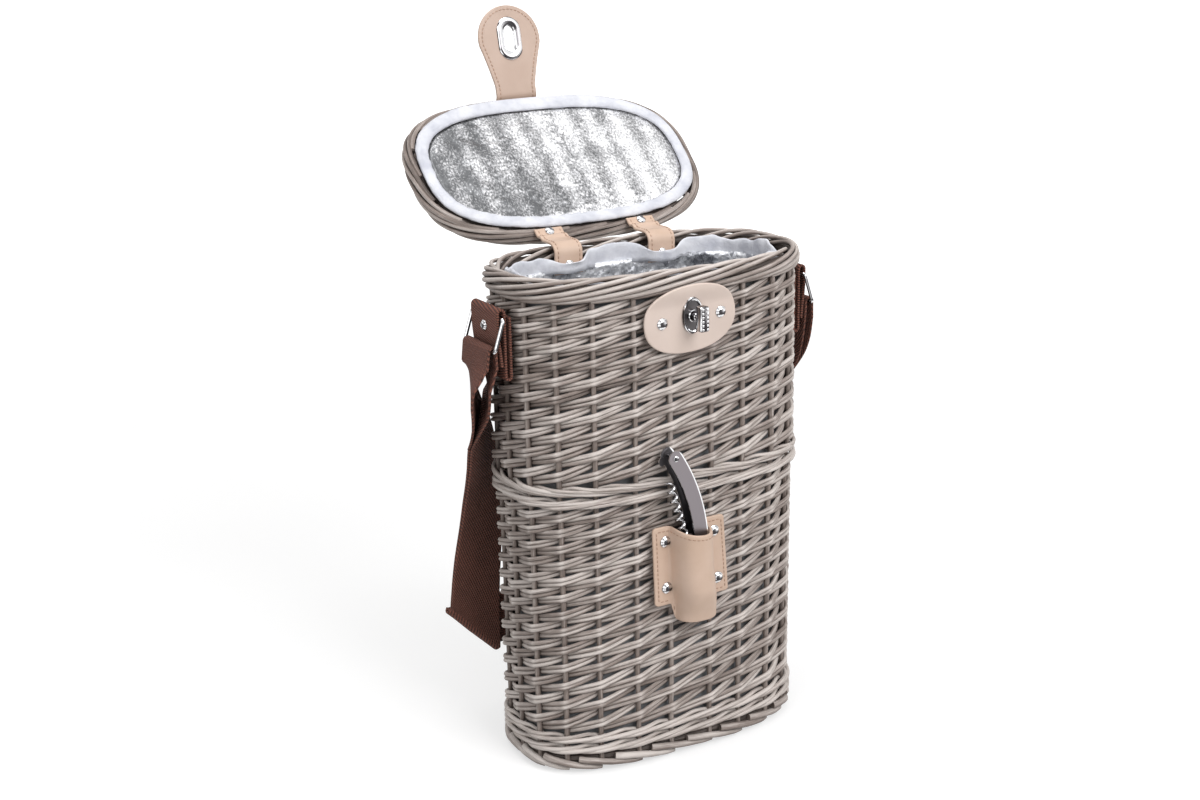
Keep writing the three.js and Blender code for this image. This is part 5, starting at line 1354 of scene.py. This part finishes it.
LAYER_GAP = 1.0
LEG_GAP = 1.75
TAB_SEAM = 16.4
TAB_STITCH = (2.6, 1.9, 0.3)
# Heights and reaches of the bulges of the strap's two legs below a ring
OUTER_BULGE = (279, 12)
INNER_BULGE = (266, 14)


def strap_rows(route, away):
    """Middle, width and facing of rows across the strap, which hangs plumb from a ring at one end."""
    route = np.array(route, float)
    line = spline(route[:, :3], LEG_STEPS)
    steps = np.arange(len(line))
    from_ring = steps if away < 0 else steps[::-1]
    blend = smooth(from_ring / (LEG_STEPS * 0.8))[:, None]
    along = unit(unit(np.gradient(line, axis=0)) * blend + away * UP * (1 - blend))
    knots = np.arange(len(route)) * LEG_STEPS
    facing, slant = [np.radians(np.interp(steps, knots, route[:, k])) for k in (3, 4)]
    face = np.stack([-np.cos(facing), np.sin(facing), facing * 0], 1)
    face = unit(face - (face * along).sum(1)[:, None] * along)
    return line, np.cross(along, face) + along * np.tan(slant)[:, None], face


def strap_turn():
    """The slanted fold: rows that roll round it from the front run to the back run."""
    front, back = np.array(STRAP_DOWN[-1][:3], float), np.array(STRAP_UP[0][:3], float)
    angle = np.radians(np.linspace(0, 180, 17))[1:-1, None]
    face = unit(back - front) * np.cos(angle) + unit((1.0, 0, 1.0)) * np.sin(angle)
    across = np.broadcast_to((1.0, 0, -1.0), face.shape)
    return (front + back) / 2 - face * np.linalg.norm(front - back) / 2, across, face


def cut(rows, first, last=None):
    return [part[first:last] for part in rows]


def layer(rows, offset):
    middle, across, face = rows
    return [middle + face * np.reshape(offset, (-1, 1)), across, face]


def strap_slab(batch, rows, start):
    """One layer of webbing over rows of (middle, across, face), with its length carried on from start."""
    middle, across, face = rows
    columns, column_shares = WEBBING_COLUMNS
    places = lengths(middle) + start
    wave = 0.35 * noise(places[:, None] * 0.035, columns * 0.07, 0, 61)
    normals = face[:, None]
    grid = middle[:, None] + columns[:, None] * across[:, None] + normals * wave[..., None]
    batch.slab(grid, normals, WEBBING_HALF, np.ones(len(middle)), column_shares, uv=(places, columns))


def bulge(height, place, size):
    return size * np.exp(-(((height - place[0]) / place[1]) ** 2))


def ring_end(rows, side, bulges):
    """The strap's end at a ring: up on one side, round the ring's lower bar and down on the other."""
    height = rows[0][:, 2]
    spread = LAYER_GAP + LEG_GAP * smooth((height - 240) / 40)
    up = [part[::-1] for part in layer(rows, spread + bulge(height, OUTER_BULGE, bulges[0]))]
    middle, across, face = layer(rows, -spread - bulge(height, INNER_BULGE, bulges[1]))
    angle = np.radians(np.linspace(180, 0, 13))[:, None]
    turn_face = UP * np.sin(angle) - face[0] * np.cos(angle)
    turn = np.array([side * RING_LOW_X, 0, RING_LOW_Z]) + turn_face * (RING_RADIUS + 0.5 + WEBBING_HALF)
    turned = (turn, np.broadcast_to(across[0], turn.shape), turn_face)
    return [np.concatenate(parts) for parts in zip(up, turned, (middle, across, -face))]


def make_strap():
    down, up = strap_rows(STRAP_DOWN, -1), strap_rows(STRAP_UP, 1)
    runs = (cut(down, LEFT_END), strap_turn(), cut(up, 0, RIGHT_END + 1))
    through = [np.concatenate(parts) for parts in zip(*runs)]
    batch = Batch()
    for side in (-1, 1):
        strap_slab(batch, layer(through, side * LAYER_GAP), 100.0)
    batch.piece("strap_middle", [WEBBING], "webbing", "basket", ["shoulder_strap"])
    left = cut(down, 0, LEFT_END + 1)
    right = [part[::-1] for part in cut(up, RIGHT_END)]
    for name, side, rows, bulges in (("left", -1, left, (2.6, 5.4)), ("right", 1, right, (1.4, 1.4))):
        batch = Batch()
        strap_slab(batch, ring_end(rows, side, bulges), 0.0)
        obj = batch.piece("strap_" + name + "_end", [WEBBING], "webbing", nodes=["shoulder_strap"])
        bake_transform(obj)


def make_tab(name, side):
    """The folded webbing tab that carries a ring, drawn outwards from the wall."""
    low_fold = arc((3.1, 282.8), 1.9, 180, 360, 13)
    top_fold = arc((7.5, 325.6), 2.5, 180, 0, 17)
    tail = np.array([[10, 320.6], [9.9, 314], [9.4, 307.8], [8.3, 298], [7.7, 290]])
    line = np.concatenate([[[1.2, 323.0]], low_fold, top_fold, tail])
    path = Path(np.stack([side * (UPPER_HALF + line[:, 0]), line[:, 0] * 0, line[:, 1]], 1))
    rows, row_shares = edged(0, path.length, 1.0, WEBBING_ROUND)
    columns, column_shares = WEBBING_COLUMNS
    places, along = path.at(rows, 0.5)
    across = np.array([0, float(side), 0])
    normals = np.cross(along, across)
    wave = 0.3 * noise(rows[:, None] * 0.06, columns * 0.08, 0, 62 + side) * smooth((rows - 50) / 40)[:, None]
    grid = places[:, None] + columns[:, None] * across + normals[:, None] * wave[..., None]
    batch = Batch()
    batch.slab(grid, normals[:, None], WEBBING_HALF, row_shares, column_shares, uv=(rows, columns))
    outer = np.where(rows > path.length - 12)[0][:-4]
    for place in (-TAB_SEAM, TAB_SEAM):
        line = places[outer] + across * place + normals[outer] * WEBBING_HALF
        batch.stitches(line, normals[outer], *TAB_STITCH)
    for back in (4.5, 11.0):
        k = int(np.argmin(np.abs(rows - (path.length - back))))
        line = places[k] + np.linspace(-TAB_SEAM, TAB_SEAM, 20)[:, None] * across + normals[k] * WEBBING_HALF
        batch.stitches(line, np.broadcast_to(normals[k], line.shape), *TAB_STITCH)
    nodes = ["strap_tab_" + name]
    batch.piece("webbing_tab_" + name, [TAB_WEBBING, DARK_THREAD], "webbing", "basket", nodes)


def dress_kept():
    """The corkscrew's handle, lever and knife are kept from the frame, with broken edges."""
    for name in ("corkscrew_handle", "corkscrew_lever", "foil_knife"):
        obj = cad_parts[name]
        obj.data.materials.clear()
        obj.data.materials.append(STEEL)
        bevel = obj.modifiers.new("edges", "BEVEL")
        bevel.width = 0.00022
        bevel.segments = 2
        bevel.limit_method = "ANGLE"
        bevel.angle_limit = math.radians(35)
        bevel.harden_normals = False


make_walls()
make_rim()
make_foot()
make_flat_weaves()
make_bag()
make_mouth_tape()
make_pad()
make_lid_binding()
make_hinge_strap("hinge_strap_left", LEFT_HINGE_X, 44.5)
make_hinge_strap("hinge_strap_right", RIGHT_HINGE_X, 43.45)
make_hasp()
make_patch()
make_pocket()
make_rivets()
make_lock()
make_worm()
make_pins()
make_ring("left", -1)
make_ring("right", 1)
make_tab("left", -1)
make_tab("right", 1)
make_strap()
dress_kept()


# Studio
FLOOR_SIZE = 14.0
FLOOR_GREY = 0.46
GLOW_NEAR = 0.6
GLOW_FAR = 1.1
WORLD_LIGHT = 0.36


def make_floor():
    """A pale floor that glows more with distance, so that it ends in the white of the background."""
    s = FLOOR_SIZE
    mesh = bpy.data.meshes.new("studio_floor")
    mesh.from_pydata([(-s, -s, 0), (s, -s, 0), (s, s, 0), (-s, s, 0)], [], [(0, 1, 2, 3)])
    look = Look("studio_white", 0.9)
    look.set(look.shader["Base Color"], (FLOOR_GREY, FLOOR_GREY, FLOOR_GREY, 1))
    look.set(look.shader["Emission Color"], (1, 1, 1, 1))
    far = look.blend((look.vector_math("LENGTH", look.coordinates()), 0.75), -0.12)
    glow = look.math("MINIMUM", look.math("MAXIMUM", far, GLOW_NEAR), GLOW_FAR)
    look.set(look.shader["Emission Strength"], look.math("MULTIPLY", glow, look.seen_directly()))
    mesh.materials.append(look.material)
    floor = add_object("studio_floor", mesh)


def make_world():
    world = bpy.data.worlds.new("studio")
    scene.world = world
    world.use_nodes = True
    world.node_tree.nodes.clear()
    nodes = Nodes(world.node_tree)
    light, seen = [
        nodes.node("ShaderNodeBackground", {"Color": (1, 1, 1, 1), "Strength": strength}).outputs[0]
        for strength in (WORLD_LIGHT, 1.0)
    ]
    mixed = nodes.node("ShaderNodeMixShader", {0: nodes.seen_directly(), 1: light, 2: seen})
    nodes.node("ShaderNodeOutputWorld", {"Surface": mixed.outputs[0]})


def make_lamp(name, place, size, power):
    data = bpy.data.lights.new(name, "AREA")
    data.shape = "RECTANGLE"
    data.size = size
    data.size_y = size
    data.energy = power
    obj = add_object(name, data)
    obj.location = place
    aim = Vector((0, 0, 0.25)) - Vector(place)
    obj.rotation_euler = aim.to_track_quat("-Z", "Y").to_euler()


make_floor()
make_world()
make_lamp("key", (0.5, -1.9, 1.7), 1.5, 42)
make_lamp("fill", (-1.9, -1.0, 1.3), 1.6, 12)
make_lamp("top", (-0.2, 0.1, 2.6), 1.5, 22)
